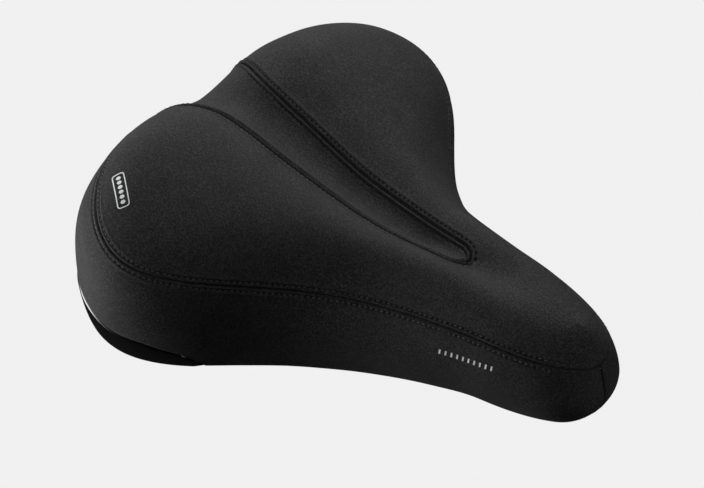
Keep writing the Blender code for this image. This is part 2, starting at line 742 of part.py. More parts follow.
def gel_shape(side, grow, top, bottom):
    """An oval pad that follows the crown between two depths under it."""
    ring, inner = [], []
    for frac, store in ((1.0, ring), (0.55, inner)):
        for i in range(20):
            a = 2 * math.pi * i / 20
            u, w = (GEL_A + grow) * frac * math.cos(a), (GEL_B + grow) * frac * math.sin(a)
            c, s = math.cos(math.radians(GEL_TURN)), math.sin(math.radians(GEL_TURN))
            store.append((GEL_X + c * u + s * w, side * (GEL_Y - s * u + c * w)))
    pts = ring + inner + [(GEL_X, side * GEL_Y)]
    on = [crown_point(x, y) for x, y in pts]
    verts = [p - n * top for p, n in on] + [p - n * bottom for p, n in on]
    n = len(pts)
    faces = []
    for i in range(20):
        j = (i + 1) % 20
        faces += [(i, j, 20 + j, 20 + i), (20 + i, 20 + j, 40), (n + j, n + i, n + 20 + i, n + 20 + j),
                  (n + 20 + j, n + 20 + i, n + 40), (j, i, n + i, n + j)]
    return verts, faces


for name, side in (("gel_insert_left", 1), ("gel_insert_right", -1)):
    pocket = cutter(name + "_pocket", *gel_shape(side, 0.9, -3.0, GEL_LOW + 0.6), True)
    boolean(foam, pocket)
    v, f = gel_shape(side, 0.0, GEL_TOP, GEL_LOW)
    add(name, v, f, GEL, True)

# ----------------------------------------------------------------------------- rail frame
def curve_through(points, step):
    """A smooth path through the points (centripetal curve), stepped evenly."""
    p = [np.array(q, float) for q in points]
    p = [2 * p[0] - p[1]] + p + [2 * p[-1] - p[-2]]
    out = []
    for i in range(1, len(p) - 2):
        a, b, c, d = p[i - 1:i + 3]
        t0 = 0.0
        t1 = t0 + np.linalg.norm(b - a) ** 0.5
        t2 = t1 + np.linalg.norm(c - b) ** 0.5
        t3 = t2 + np.linalg.norm(d - c) ** 0.5
        n = max(1, int(round(np.linalg.norm(c - b) / step)))
        for k in range(n):
            t = t1 + (t2 - t1) * k / n
            a1 = (t1 - t) / (t1 - t0) * a + (t - t0) / (t1 - t0) * b
            a2 = (t2 - t) / (t2 - t1) * b + (t - t1) / (t2 - t1) * c
            a3 = (t3 - t) / (t3 - t2) * c + (t - t2) / (t3 - t2) * d
            b1 = (t2 - t) / (t2 - t0) * a1 + (t - t0) / (t2 - t0) * a2
            b2 = (t3 - t) / (t3 - t1) * a2 + (t - t1) / (t3 - t1) * a3
            out.append((t2 - t) / (t2 - t1) * b1 + (t - t1) / (t2 - t1) * b2)
    out.append(p[-2])
    return out


WELD_Z = BRIDGE_TOP - BRIDGE_T - GAP - RAIL_R
rear = [(-92, 27, WELD_Z), (-68, 27, WELD_Z), (-57, 25, WELD_Z - 0.7), (-48, 22.4, RAIL_Z), (-46, 22, RAIL_Z)]
front = [(14, 22, RAIL_Z), (16, 21.8, RAIL_Z), (25, 18.8, RAIL_Z + 1.8), (35, 13.8, RAIL_Z + 6.6), (46, 9.9, RAIL_Z + 12.5),
         (57, 8.2, RAIL_Z + 17.3), (68, 8, HINGE_Z - 0.2), (72, 8, HINGE_Z), (LOOP_X, LOOP_R, HINGE_Z)]
path = curve_through(rear, 6.0)[:-1] + [np.array((-46, 22, RAIL_Z)), np.array((14, 22, RAIL_Z))]
path += curve_through(front, 4.5)[1:-1]
for i in range(0, 7):
    a = math.radians(90 - i * 15)
    path.append(np.array((LOOP_X + LOOP_R * math.cos(a), LOOP_R * math.sin(a), HINGE_Z)))
path += [q * np.array((1, -1, 1)) for q in path[-2::-1]]
v, f = rod(path, RAIL_R)
add("rail_frame", v, f, STEEL_BLACK, False)

# ----------------------------------------------------------------------------- rear bridge
bridge = add("rear_bridge", *block(-93, -67, -59, 59, BRIDGE_TOP - BRIDGE_T, BRIDGE_TOP, 9, 4), ZINC, False)
for i, s in enumerate((1, -1)):
    hole = cutter("bridge_hole_%d" % i, *turned([(0, -50), (3.6, -50), (3.6, -20), (0, -20)],
                                                BOLT_X, s * BOLT_Y), False)
    boolean(bridge, hole)
slot = cutter("bridge_window", *block(-86, -74, -12, 12, -50, -20, 5.9, 4), False)
boolean(bridge, slot)

# ----------------------------------------------------------------------------- elastomers and their bolts
E0, E1 = BRIDGE_TOP + GAP, BOSS_Z - GAP
EM = 0.5 * (E0 + E1)
for tag, s in (("left", 1), ("right", -1)):
    x, y = BOLT_X, s * BOLT_Y
    add("elastomer_" + tag, *turned([(3.6, E0), (13.2, E0), (14.0, E0 + 1.0), (14.0, E0 + 4.5), (11.6, EM),
                                     (14.0, E1 - 4.5), (14.0, E1 - 1.0), (13.2, E1), (3.6, E1)], x, y, 20),
        RUBBER, False)
    low_z = BRIDGE_TOP - BRIDGE_T
    add("bolt_" + tag, *turned([(0, -43.6), (2.4, -43.6), (3.0, -43.0), (3.0, -6.3), (0, -6.3)], x, y), ZINC, True)
    add("washer_" + tag, *turned([(3.25, low_z - 1.9), (7.6, low_z - 1.9), (7.6, low_z - 0.3), (3.25, low_z - 0.3)],
                                 x, y, 16), ZINC, True)
    nut = add("nut_" + tag, *hexagon(x, y, 10.0, low_z - 7.2, low_z - 2.2), ZINC, True)
    bore = cutter("nut_bore_" + tag, *turned([(0, -60), (3.25, -60), (3.25, -20), (0, -20)], x, y), True)
    boolean(nut, bore)
    add("guard_screw_" + tag, *turned([(0, GSZ - 2.0), (2.2, GSZ - 2.0), (3.0, GSZ - 1.2), (3.0, GSZ - 0.3),
                                       (1.5, GSZ - 0.3), (1.5, GSZ + 5.4), (0, GSZ + 5.4)], GSX, s * GSY, 10),
        ZINC, True)

# ----------------------------------------------------------------------------- nose clip and its screws
FLOOR0, FLOOR1 = HINGE_Z - 7.0, HINGE_Z - 4.1
SEAT = BASE_TOP[1][-1] - SHELL - GAP
clip = add("nose_clip", *block(74, 97.5, -8.0, 8.0, FLOOR0, FLOOR1, 4, 4), SHELL_MAT, True)
post = cutter("clip_post", *block(65, 81.6, -3.9, 3.9, FLOOR1 - 1.2, SEAT, 2.5, 3), True)
lug = cutter("clip_lug", *block(90.4, 97.0, -6.0, 6.0, FLOOR1 - 1.2, SEAT, 2.5, 3), True)
boolean(clip, post, "UNION")
boolean(clip, lug, "UNION")
for tag, x in (("rear", NOSE_SCREWS[0]), ("front", NOSE_SCREWS[1])):
    under_z = FLOOR0 if tag == "front" else FLOOR1 - 1.2
    hole = cutter("clip_hole_" + tag, *turned([(0, -60), (1.75, -60), (1.75, SEAT + 2.9), (0, SEAT + 2.9)], x, 0, 10), True)
    boolean(clip, hole)
    boolean(shell, hole)
    add("nose_screw_" + tag, *turned([(0, under_z - 2.0), (2.2, under_z - 2.0), (3.0, under_z - 1.2),
                                      (3.0, under_z - 0.3), (1.5, under_z - 0.3), (1.5, SEAT + 2.5), (0, SEAT + 2.5)],
                                     x, 0, 10), ZINC, True)
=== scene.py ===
"""Looks of the comfort bicycle saddle: its cover, seams, guard, base and rails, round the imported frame."""
import math

import bpy
import numpy as np
from mathutils import Matrix, Vector, kdtree


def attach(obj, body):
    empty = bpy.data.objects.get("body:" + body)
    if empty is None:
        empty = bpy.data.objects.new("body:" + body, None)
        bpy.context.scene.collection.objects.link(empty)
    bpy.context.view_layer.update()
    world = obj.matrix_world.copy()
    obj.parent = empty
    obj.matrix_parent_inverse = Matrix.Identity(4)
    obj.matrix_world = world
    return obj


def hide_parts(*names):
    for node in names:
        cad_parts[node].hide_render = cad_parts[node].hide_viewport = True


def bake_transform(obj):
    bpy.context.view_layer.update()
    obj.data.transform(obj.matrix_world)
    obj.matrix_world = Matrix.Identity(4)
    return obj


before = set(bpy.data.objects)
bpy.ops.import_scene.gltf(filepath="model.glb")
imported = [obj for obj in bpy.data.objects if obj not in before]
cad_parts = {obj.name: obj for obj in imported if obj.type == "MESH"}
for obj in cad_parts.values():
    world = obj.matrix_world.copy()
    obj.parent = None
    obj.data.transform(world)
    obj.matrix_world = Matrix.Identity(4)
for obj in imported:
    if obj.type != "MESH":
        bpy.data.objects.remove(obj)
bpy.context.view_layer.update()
rng = np.random.default_rng(7)

# ----------------------------------------------------------------------------- the saddle's own dimensions (mm)
CLAMP_X, RAIL_Z = -14.0, -41.0
RAIL_R = 3.5
SHELL = 3.0
GUARD, GUARD_LIP, GUARD_END = 2.4, 8.0, 5.15
STATIONS = [
    (-130.0, 0.0, 0.0, 0.50, -38.0, 8.0, 2.95, 1.75),
    (-128.5, 42.0, -0.5, 0.53, -38.0, 8.0, 2.9, 1.75),
    (-121.0, 69.5, 1.0, 0.63, -38.0, 8.0, 2.85, 2.0),
    (-104.0, 95.0, 1.0, 0.63, -39.5, 6.5, 2.95, 2.5),
    (-73.0, 107.5, 1.0, 0.45, -41.5, 11.5, 2.65, 2.5),
    (-43.5, 93.0, -2.0, 0.40, -42.0, 13.0, 2.65, 2.4),
    (-21.5, 69.0, -5.0, 0.35, -43.0, 12.0, 2.65, 1.8),
    (13.0, 44.0, -7.0, 0.35, -42.5, 12.5, 2.75, 1.3),
    (55.5, 32.0, -1.5, 0.41, -34.0, 13.0, 3.0, 1.6),
    (76.5, 29.5, 1.5, 0.47, -29.0, 12.5, 2.9, 1.75),
    (111.5, 22.0, -2.0, 0.56, -25.5, 14.0, 2.25, 1.45),
    (124.0, 0.0, -5.0, 0.52, -24.5, 13.5, 1.9, 1.35),
]
SPINE_X = [-86, -86, -85, -80, -68, -50, -26, 4, 40, 76, 100, 106]
CROWN = ([-95, -50, -10, 30, 70, 112], [49.0, 40.0, 34.0, 33.0, 29.5, 27.0])
CHANNEL_X = [-130, -85, -40, 5, 45]
CHANNEL_DEPTH = [11.0, 12.0, 10.5, 11.5, 7.5]
CHANNEL_HALF = [46.0, 46.0, 40.5, 29.5, 19.5]
TONGUE = ([-135, -100, -60, -30, 0, 20], [35.5, 17.0, 12.0, 10.0, 9.0, 7.5])
TONGUE_TIP, TONGUE_DIP = 44.5, 2.5
GUARD_EDGE = ([0, 2, 3, 3.5, 4, 4.4, 4.7, 4.93, 5.1, 5.3, 6.2, 11],
              [0.42, 0.385, 0.39, 0.465, 0.565, 0.585, 0.66, 0.74, 0.88, 0.90, 0.62, 0.62])
BASE_FOOT_X = [-86, -86, -85, -80, -68, -50, -26, 4, 40, 66, 84, 90]
BASE_TOP = ([-130, 0, 30, 60, 112], [-6.0, -6.0, -8.0, -14.0, -14.0])
HINGE_X, HINGE_Z = 82.0, -21.5
LOOP_X, LOOP_R = 78.0, 8.0
BOLT_X, BOLT_Y = -80.0, 42.0
BOSS_R, BOSS_Z = 15.0, -12.0
BRIDGE_TOP, BRIDGE_T = -32.0, 3.0
GUARD_SCREW_T = 1.25
NOSE_SCREWS = (70.0, 94.0)
COVER, GAP = 1.2, 0.3
NS = len(STATIONS)
TOTAL = 2.0 * (NS - 1)


# ----------------------------------------------------------------------------- splines and the master skin
def ring_spline(values, odd):
    v = [float(a) for a in values]
    s = -1.0 if odd else 1.0
    y = np.array(v + [s * a for a in v[-2:0:-1]])
    n = len(y)
    m = np.zeros((n, n))
    r = np.zeros(n)
    for i in range(n):
        m[i, i] = 4.0
        m[i, (i - 1) % n] = 1.0
        m[i, (i + 1) % n] = 1.0
        r[i] = 6.0 * (y[i - 1] - 2.0 * y[i] + y[(i + 1) % n])
    k = np.linalg.solve(m, r)

    def f(t):
        t = np.mod(np.asarray(t, float), n)
        i = np.floor(t).astype(int) % n
        j = (i + 1) % n
        b = t - np.floor(t)
        a = 1.0 - b
        return a * y[i] + b * y[j] + ((a ** 3 - a) * k[i] + (b ** 3 - b) * k[j]) / 6.0

    return f


def cubic_spline(xs, ys, level_ends=False):
    x = np.array(xs, float)
    y = np.array(ys, float)
    n = len(x)
    h = np.diff(x)
    m = np.eye(n)
    r = np.zeros(n)
    for i in range(1, n - 1):
        m[i, i - 1:i + 2] = (h[i - 1], 2 * (h[i - 1] + h[i]), h[i])
        r[i] = 6 * ((y[i + 1] - y[i]) / h[i] - (y[i] - y[i - 1]) / h[i - 1])
    if level_ends:
        m[0, :2] = (2 * h[0], h[0])
        r[0] = 6 * (y[1] - y[0]) / h[0]
        m[-1, -2:] = (h[-1], 2 * h[-1])
        r[-1] = -6 * (y[-1] - y[-2]) / h[-1]
    k = np.linalg.solve(m, r)

    def f(t):
        t = np.asarray(t, float)
        if level_ends:
            t = np.clip(t, x[0], x[-1])
        i = np.clip(np.searchsorted(x, t, side="right") - 1, 0, n - 2)
        a = (x[i + 1] - t) / h[i]
        b = (t - x[i]) / h[i]
        return a * y[i] + b * y[i + 1] + ((a ** 3 - a) * k[i] + (b ** 3 - b) * k[i + 1]) * h[i] ** 2 / 6

    return f


def even_slope(xs, ys):
    x = np.array(xs, float)
    y = np.array(ys, float)
    h = np.diff(x)
    d = np.diff(y) / h
    m = np.zeros(len(x))
    for i in range(1, len(x) - 1):
        if d[i - 1] * d[i] > 0:
            w1, w2 = 2 * h[i] + h[i - 1], h[i] + 2 * h[i - 1]
            m[i] = (w1 + w2) / (w1 / d[i - 1] + w2 / d[i])
    for i, a, b in ((0, 0, 1), (len(x) - 1, -1, -2)):
        e = ((2 * h[a] + h[b]) * d[a] - h[a] * d[b]) / (h[a] + h[b])
        if e * d[a] <= 0:
            e = 0.0
        elif d[a] * d[b] <= 0 and abs(e) > 3 * abs(d[a]):
            e = 3 * d[a]
        m[i] = e

    def f(t):
        t = np.clip(np.asarray(t, float), x[0], x[-1])
        i = np.clip(np.searchsorted(x, t, side="right") - 1, 0, len(x) - 2)
        u = (t - x[i]) / h[i]
        return ((1 + 2 * u) * (1 - u) ** 2 * y[i] + u * (1 - u) ** 2 * h[i] * m[i]
                + u * u * (3 - 2 * u) * y[i + 1] + u * u * (u - 1) * h[i] * m[i + 1])

    return f


def column(i):
    return [row[i] for row in STATIONS]


WX, WY = ring_spline(column(0), False), ring_spline(column(1), True)
WZ, SEAM_F, LOW_Z, TUCK, PP, QQ = (ring_spline(column(i), False) for i in range(2, 8))
spine_half = even_slope(range(NS), SPINE_X)
foot_half = even_slope(range(NS), BASE_FOOT_X)
crown = cubic_spline(*CROWN, level_ends=True)
tongue_half = cubic_spline(*TONGUE)
depth_at = even_slope(CHANNEL_X, CHANNEL_DEPTH)
half_at = even_slope(CHANNEL_X, CHANNEL_HALF)
guard_edge = even_slope(*GUARD_EDGE)
base_top = even_slope(*BASE_TOP)


def fold(t):
    t = np.mod(np.asarray(t, float), TOTAL)
    return np.where(t > NS - 1, TOTAL - t, t)


def seam_half(x):
    y = tongue_half(np.clip(x, -145, TONGUE_TIP))
    r = float(tongue_half(TONGUE_TIP))
    length = 1.5 * max(r, 2.0)
    u = np.clip((x - (TONGUE_TIP - length)) / length, 0, 1)
    return np.where(x >= TONGUE_TIP, 0.0, y * np.sqrt(np.clip(1 - u ** 2, 0, 1)))


def channel(x, y):
    u = np.clip((x - TONGUE_TIP) / 45.0, 0, 1)
    fade = 1 - (3 * u ** 2 - 2 * u ** 3)
    wide = depth_at(x) * fade * np.exp(-(y / (0.6 * half_at(x))) ** 2)
    edge = np.maximum(seam_half(x), 0.5)
    dip = TONGUE_DIP * np.clip((x + 128) / 30, 0, 1) * np.clip((TONGUE_TIP - x) / 25, 0, 1)
    return wide + dip * np.clip(1 - (y / edge) ** 2, 0, 1)


def skin(t, k):
    t, k = np.broadcast_arrays(np.asarray(t, float), np.asarray(k, float))
    x0 = spine_half(fold(t))
    wx, wy, wz = WX(t), WY(t), WZ(t)
    p, q = np.clip(PP(t), 1.9, 8), np.clip(QQ(t), 1.02, 8)
    a = np.clip(k, 0, 1) * np.pi / 2
    rho = np.sin(a) ** (2 / p)
    rise = np.clip(np.cos(a), 0, 1) ** (2 / q)
    s = np.clip(k - 1, 0, None)
    length = np.hypot(wx - x0, wy)
    tuck = TUCK(t) * s ** 2 / length
    x = x0 + (wx - x0) * (rho - tuck)
    y = wy * (rho - tuck)
    z = wz + (crown(x) - wz) * rise + (LOW_Z(t) - wz) * s
    low = np.clip(rise / 0.45, 0, 1)
    z = z - channel(x, y) * low ** 2 * (3 - 2 * low)
    return np.stack([x, y, z], -1)


def skin_normal(t, k):
    e = 0.004
    dt = skin(t + e, k) - skin(t - e, k)
    dk = skin(t, np.minimum(k + e, 2.0)) - skin(t, np.maximum(k - e, 0.0))
    n = np.cross(dt, dk)
    return n / np.maximum(np.linalg.norm(n, axis=-1, keepdims=True), 1e-9)


def seam_k(t):
    f = np.clip(SEAM_F(t), 0.02, 0.98)
    return np.arccos(f ** (np.clip(QQ(t), 1.02, 8) / 2)) / (np.pi / 2)


def inward(t):
    d = np.stack([spine_half(fold(t)) - WX(t), -WY(t)], -1)
    return d / np.linalg.norm(d, axis=-1, keepdims=True)


def crown_z(x, y):
    """Height of the crown over points of the plan, found along the section that passes through them."""
    x = np.asarray(x, float)
    y = np.maximum(np.abs(np.asarray(y, float)), 2e-3)
    lo, hi = np.full(x.shape, 1e-6), np.full(x.shape, NS - 1 - 1e-6)
    for _ in range(44):
        m = 0.5 * (lo + hi)
        x0 = spine_half(m)
        v = x0 + (WX(m) - x0) * (y / np.maximum(WY(m), 1e-9)) - x
        up = v < 0
        lo, hi = np.where(up, m, lo), np.where(up, hi, m)
    t = 0.5 * (lo + hi)
    rho = np.clip(y / np.maximum(WY(t), 1e-9), 0, 1)
    k = np.arcsin(rho ** (np.clip(PP(t), 1.9, 8) / 2)) / (np.pi / 2)
    return skin(t, k)[..., 2]


def crown_at(x, y):
    """Points of the crown and their normals."""
    e = 0.6
    z = crown_z(x, y)
    gx = (crown_z(x + e, y) - crown_z(x - e, y)) / (2 * e)
    gy = (crown_z(x, y + e) - crown_z(x, y - e)) / (2 * e)
    n = np.stack([-gx, -gy, np.ones_like(z)], -1)
    return np.stack([x, y, z], -1), n / np.linalg.norm(n, axis=-1, keepdims=True)


def to_part(p):
    """Drawing millimetres to metres in the row frame."""
    p = np.asarray(p, float)
    return (p - np.array([CLAMP_X, 0, RAIL_Z])) / 1000.0


# ----------------------------------------------------------------------------- node materials
def tree(name):
    m = bpy.data.materials.new(name)
    m.use_nodes = True
    nt = m.node_tree
    for n in list(nt.nodes):
        if n.type != "OUTPUT_MATERIAL" and n.type != "BSDF_PRINCIPLED":
            nt.nodes.remove(n)
    bsdf = nt.nodes["Principled BSDF"]
    return m, nt, bsdf


def node(nt, kind, **inputs):
    n = nt.nodes.new(kind)
    for key, value in inputs.items():
        key = key.replace("_", " ")
        if key in n.inputs:
            n.inputs[key].default_value = value
    return n


def noise(nt, co, scale, detail=2.0, rough=0.55, distortion=0.0):
    n = node(nt, "ShaderNodeTexNoise", Scale=scale, Detail=detail, Roughness=rough, Distortion=distortion)
    nt.links.new(co, n.inputs["Vector"])
    return n.outputs["Fac"]


def ramp(nt, fac, stops):
    r = nt.nodes.new("ShaderNodeValToRGB")
    e = r.color_ramp.elements
    while len(e) < len(stops):
        e.new(0.5)
    for el, (pos, col) in zip(e, stops):
        el.position = pos
        el.color = (*col, 1) if len(col) == 3 else col
    nt.links.new(fac, r.inputs["Fac"])
    return r.outputs["Color"]


def grey(v):
    return (v, v, v)


def maths(nt, op, a, b=None, clamp=False):
    n = nt.nodes.new("ShaderNodeMath")
    n.operation = op
    n.use_clamp = clamp
    for i, v in enumerate((a, b)):
        if v is None:
            continue
        if isinstance(v, (int, float)):
            n.inputs[i].default_value = v
        else:
            nt.links.new(v, n.inputs[i])
    return n.outputs[0]


def mix_colour(nt, fac, a, b, mode="MIX"):
    n = nt.nodes.new("ShaderNodeMix")
    n.data_type = "RGBA"
    n.blend_type = mode
    for socket, v in ((n.inputs["Factor"], fac), (n.inputs["A"], a), (n.inputs["B"], b)):
        pass
    ins = [s for s in n.inputs if s.enabled]
    for s, v in zip(ins, (fac, a, b)):
        if isinstance(v, (int, float)):
            s.default_value = v
        elif isinstance(v, tuple):
            s.default_value = (*v, 1) if len(v) == 3 else v
        else:
            nt.links.new(v, s)
    return [s for s in n.outputs if s.enabled][0]


def bump(nt, height, distance, strength, normal=None):
    n = nt.nodes.new("ShaderNodeBump")
    n.inputs["Distance"].default_value = distance
    n.inputs["Strength"].default_value = strength
    nt.links.new(height, n.inputs["Height"])
    if normal is not None:
        nt.links.new(normal, n.inputs["Normal"])
    return n.outputs["Normal"]


def object_coords(nt, scale=(1, 1, 1), turn=(0, 0, 0)):
    tc = nt.nodes.new("ShaderNodeTexCoord")
    mp = nt.nodes.new("ShaderNodeMapping")
    mp.inputs["Scale"].default_value = scale
    mp.inputs["Rotation"].default_value = turn
    nt.links.new(tc.outputs["Object"], mp.inputs["Vector"])
    return mp.outputs["Vector"]


def fabric(name, dark, light, rough=0.80, sheen=0.02, fleck=0.8):
    """Fine heathered stretch knit: black and charcoal filaments, a slight nap."""
    m, nt, b = tree(name)
    co = object_coords(nt)
    grain = noise(nt, co, 1250.0, 2.0, 0.65)
    fine = noise(nt, co, 3100.0, 2.0, 0.6)
    yarn = noise(nt, object_coords(nt, (1.0, 2.4, 1.5), (0.3, 0.2, 0.5)), 620.0, 2.0, 0.6)
    cloud = noise(nt, co, 55.0, 3.0, 0.55)
    mixed = maths(nt, "ADD", maths(nt, "MULTIPLY", grain, 0.55),
                  maths(nt, "ADD", maths(nt, "MULTIPLY", fine, 0.20), maths(nt, "MULTIPLY", yarn, 0.25)))
    mid = tuple(0.6 * a + 0.4 * c for a, c in zip(dark, light))
    col = ramp(nt, mixed, [(0.40, dark), (0.51, mid), (0.60, light)])
    shade = ramp(nt, cloud, [(0.35, grey(0.86)), (0.65, grey(1.10))])
    col = mix_colour(nt, 1.0, col, shade, "MULTIPLY")
    nt.links.new(col, b.inputs["Base Color"])
    rgh = ramp(nt, yarn, [(0.3, grey(rough - 0.08)), (0.7, grey(min(1.0, rough + 0.06)))])
    nt.links.new(rgh, b.inputs["Roughness"])
    wave = nt.nodes.new("ShaderNodeTexWave")
    wave.wave_type = "BANDS"
    wave.bands_direction = "DIAGONAL"
    wave.inputs["Scale"].default_value = 560.0
    wave.inputs["Distortion"].default_value = 1.4
    wave.inputs["Detail"].default_value = 1.0
    nt.links.new(co, wave.inputs["Vector"])
    height = maths(nt, "ADD", maths(nt, "MULTIPLY", mixed, 1.0), maths(nt, "MULTIPLY", wave.outputs["Fac"], 0.15))
    nt.links.new(bump(nt, height, 0.00030, fleck), b.inputs["Normal"])
    b.inputs["Specular IOR Level"].default_value = 0.22
    b.inputs["Sheen Weight"].default_value = sheen
    b.inputs["Sheen Roughness"].default_value = 0.5
    b.inputs["Sheen Tint"].default_value = (1.0, 1.0, 1.0, 1)
    return m


def thread_material():
    m, nt, b = tree("thread")
    co = object_coords(nt)
    n = noise(nt, co, 3000.0, 2.0)
    nt.links.new(ramp(nt, n, [(0.35, grey(0.045)), (0.65, grey(0.100))]), b.inputs["Base Color"])
    nt.links.new(ramp(nt, n, [(0.3, grey(0.42)), (0.7, grey(0.62))]), b.inputs["Roughness"])
    nt.links.new(bump(nt, n, 0.00005, 0.5), b.inputs["Normal"])
    b.inputs["Specular IOR Level"].default_value = 0.4
    return m


def print_material():
    m, nt, b = tree("transfer_print")
    co = object_coords(nt)
    fine = noise(nt, co, 2600.0, 2.0, 0.6)
    wear = noise(nt, co, 420.0, 4.0, 0.7)
    col = ramp(nt, maths(nt, "ADD", maths(nt, "MULTIPLY", fine, 0.35), maths(nt, "MULTIPLY", wear, 0.65)),
               [(0.28, grey(0.50)), (0.38, grey(0.86)), (0.60, grey(0.93))])
    nt.links.new(col, b.inputs["Base Color"])
    nt.links.new(ramp(nt, wear, [(0.3, grey(0.5)), (0.7, grey(0.72))]), b.inputs["Roughness"])
    nt.links.new(bump(nt, fine, 0.00008, 0.5), b.inputs["Normal"])
    return m


def gloss_material():
    """Polished black plastic with a faint moulding ripple and fine scuffs that dull it in patches."""
    m, nt, b = tree("guard_gloss")
    co = object_coords(nt)
    big = noise(nt, co, 60.0, 2.0, 0.5)
    fine = noise(nt, co, 1400.0, 3.0, 0.65)
    scuff = noise(nt, object_coords(nt, (0.25, 0.25, 2.2)), 900.0, 5.0, 0.72)
    nt.links.new(ramp(nt, big, [(0.3, (0.0035, 0.0035, 0.0037)), (0.7, (0.0050, 0.0050, 0.0053))]), b.inputs["Base Color"])
    base = ramp(nt, scuff, [(0.45, grey(0.17)), (0.62, grey(0.21)), (0.74, grey(0.34))])
    nt.links.new(base, b.inputs["Roughness"])
    h = maths(nt, "ADD", maths(nt, "MULTIPLY", big, 1.0), maths(nt, "MULTIPLY", fine, 0.03))
    nt.links.new(bump(nt, h, 0.0003, 0.12), b.inputs["Normal"])
    b.inputs["Specular IOR Level"].default_value = 0.5
    b.inputs["Coat Weight"].default_value = 0.3
    b.inputs["Coat Roughness"].default_value = 0.10
    return m


def moulded_material(name, tone, rough):
    """Moulded polypropylene with a fine spark-eroded grain and faint flow marks."""
    m, nt, b = tree(name)
    co = object_coords(nt)
    grain = noise(nt, co, 1700.0, 3.0, 0.6)
    flow = noise(nt, object_coords(nt, (0.4, 1.3, 1.0)), 70.0, 3.0, 0.6)
    col = mix_colour(nt, 1.0, ramp(nt, grain, [(0.35, grey(tone * 0.75)), (0.65, grey(tone * 1.3))]),
                     ramp(nt, flow, [(0.35, grey(0.85)), (0.65, grey(1.15))]), "MULTIPLY")
    nt.links.new(col, b.inputs["Base Color"])
    nt.links.new(ramp(nt, flow, [(0.3, grey(rough - 0.08)), (0.7, grey(rough + 0.08))]), b.inputs["Roughness"])
    nt.links.new(bump(nt, grain, 0.00012, 0.45), b.inputs["Normal"])
    return m


def painted_material():
    """Black powder coat: orange peel, a slight dust and rubbed spots."""
    m, nt, b = tree("rail_paint")
    co = object_coords(nt)
    peel = noise(nt, co, 900.0, 2.0, 0.5)
    rub = noise(nt, co, 160.0, 5.0, 0.7)
    nt.links.new(ramp(nt, rub, [(0.40, grey(0.012)), (0.66, grey(0.022)), (0.78, grey(0.06))]), b.inputs["Base Color"])
    nt.links.new(ramp(nt, rub, [(0.35, grey(0.27)), (0.72, grey(0.46))]), b.inputs["Roughness"])
    nt.links.new(bump(nt, peel, 0.0001, 0.25), b.inputs["Normal"])
    return m


def zinc_material():
    """Zinc-plated steel: fine rolled grain, a light crystalline mottle, duller in patches."""
    m, nt, b = tree("zinc_plate")
    co = object_coords(nt)
    v = nt.nodes.new("ShaderNodeTexVoronoi")
    v.inputs["Scale"].default_value = 700.0
    nt.links.new(co, v.inputs["Vector"])
    grain = noise(nt, object_coords(nt, (1.0, 0.06, 1.0)), 3000.0, 2.0, 0.6)
    patch = noise(nt, co, 130.0, 4.0, 0.65)
    mott = maths(nt, "ADD", maths(nt, "MULTIPLY", v.outputs["Distance"], 0.3), maths(nt, "MULTIPLY", patch, 0.7))
    nt.links.new(ramp(nt, mott, [(0.30, (0.36, 0.37, 0.39)), (0.65, (0.56, 0.57, 0.59))]), b.inputs["Base Color"])
    nt.links.new(ramp(nt, patch, [(0.3, grey(0.30)), (0.7, grey(0.50))]), b.inputs["Roughness"])
    nt.links.new(bump(nt, grain, 0.00004, 0.35), b.inputs["Normal"])
    b.inputs["Metallic"].default_value = 1.0
    return m


def rubber_material():
    m, nt, b = tree("elastomer")
    co = object_coords(nt)
    g = noise(nt, co, 1300.0, 4.0, 0.7)
    bloom = noise(nt, co, 110.0, 3.0, 0.6)
    nt.links.new(ramp(nt, bloom, [(0.35, grey(0.018)), (0.68, grey(0.040))]), b.inputs["Base Color"])
    nt.links.new(ramp(nt, g, [(0.3, grey(0.70)), (0.7, grey(0.88))]), b.inputs["Roughness"])
    nt.links.new(bump(nt, g, 0.00015, 0.4), b.inputs["Normal"])
    return m


def foam_material():
    m, nt, b = tree("open_cell_foam")
    co = object_coords(nt)
    v = nt.nodes.new("ShaderNodeTexVoronoi")
    v.feature = "DISTANCE_TO_EDGE"
    v.inputs["Scale"].default_value = 900.0
    nt.links.new(co, v.inputs["Vector"])
    cloud = noise(nt, co, 60.0, 3.0, 0.6)
    col = mix_colour(nt, 1.0, ramp(nt, v.outputs["Distance"], [(0.0, grey(0.24)), (0.3, grey(0.12))]),
                     ramp(nt, cloud, [(0.3, grey(0.85)), (0.7, grey(1.1))]), "MULTIPLY")
    nt.links.new(col, b.inputs["Base Color"])
    nt.links.new(ramp(nt, cloud, [(0.3, grey(0.9)), (0.7, grey(1.0))]), b.inputs["Roughness"])
    nt.links.new(bump(nt, v.outputs["Distance"], 0.0004, 0.7), b.inputs["Normal"])
    return m


def gel_material():
    m, nt, b = tree("gel_pad")
    co = object_coords(nt)
    cloud = noise(nt, co, 90.0, 3.0, 0.6)
    nt.links.new(ramp(nt, cloud, [(0.3, (0.07, 0.13, 0.26)), (0.7, (0.12, 0.19, 0.32))]), b.inputs["Base Color"])
    nt.links.new(ramp(nt, cloud, [(0.3, grey(0.25)), (0.7, grey(0.4))]), b.inputs["Roughness"])
    nt.links.new(bump(nt, cloud, 0.0005, 0.3), b.inputs["Normal"])
    b.inputs["Subsurface Weight"].default_value = 0.2
    return m


FABRIC = fabric("cover_fabric", (0.0085, 0.0085, 0.0086), (0.052, 0.052, 0.0525))
FABRIC_SIDE = fabric("cover_fabric_side", (0.0078, 0.0078, 0.0079), (0.048, 0.048, 0.0485))
THREAD = thread_material()
PRINT = print_material()
GLOSS = gloss_material()
BASE_MAT = moulded_material("base_moulding", 0.018, 0.55)
CLIP_MAT = moulded_material("clip_moulding", 0.022, 0.48)
PAINT = painted_material()
ZINC = zinc_material()
RUBBER = rubber_material()
FOAM = foam_material()
GEL = gel_material()


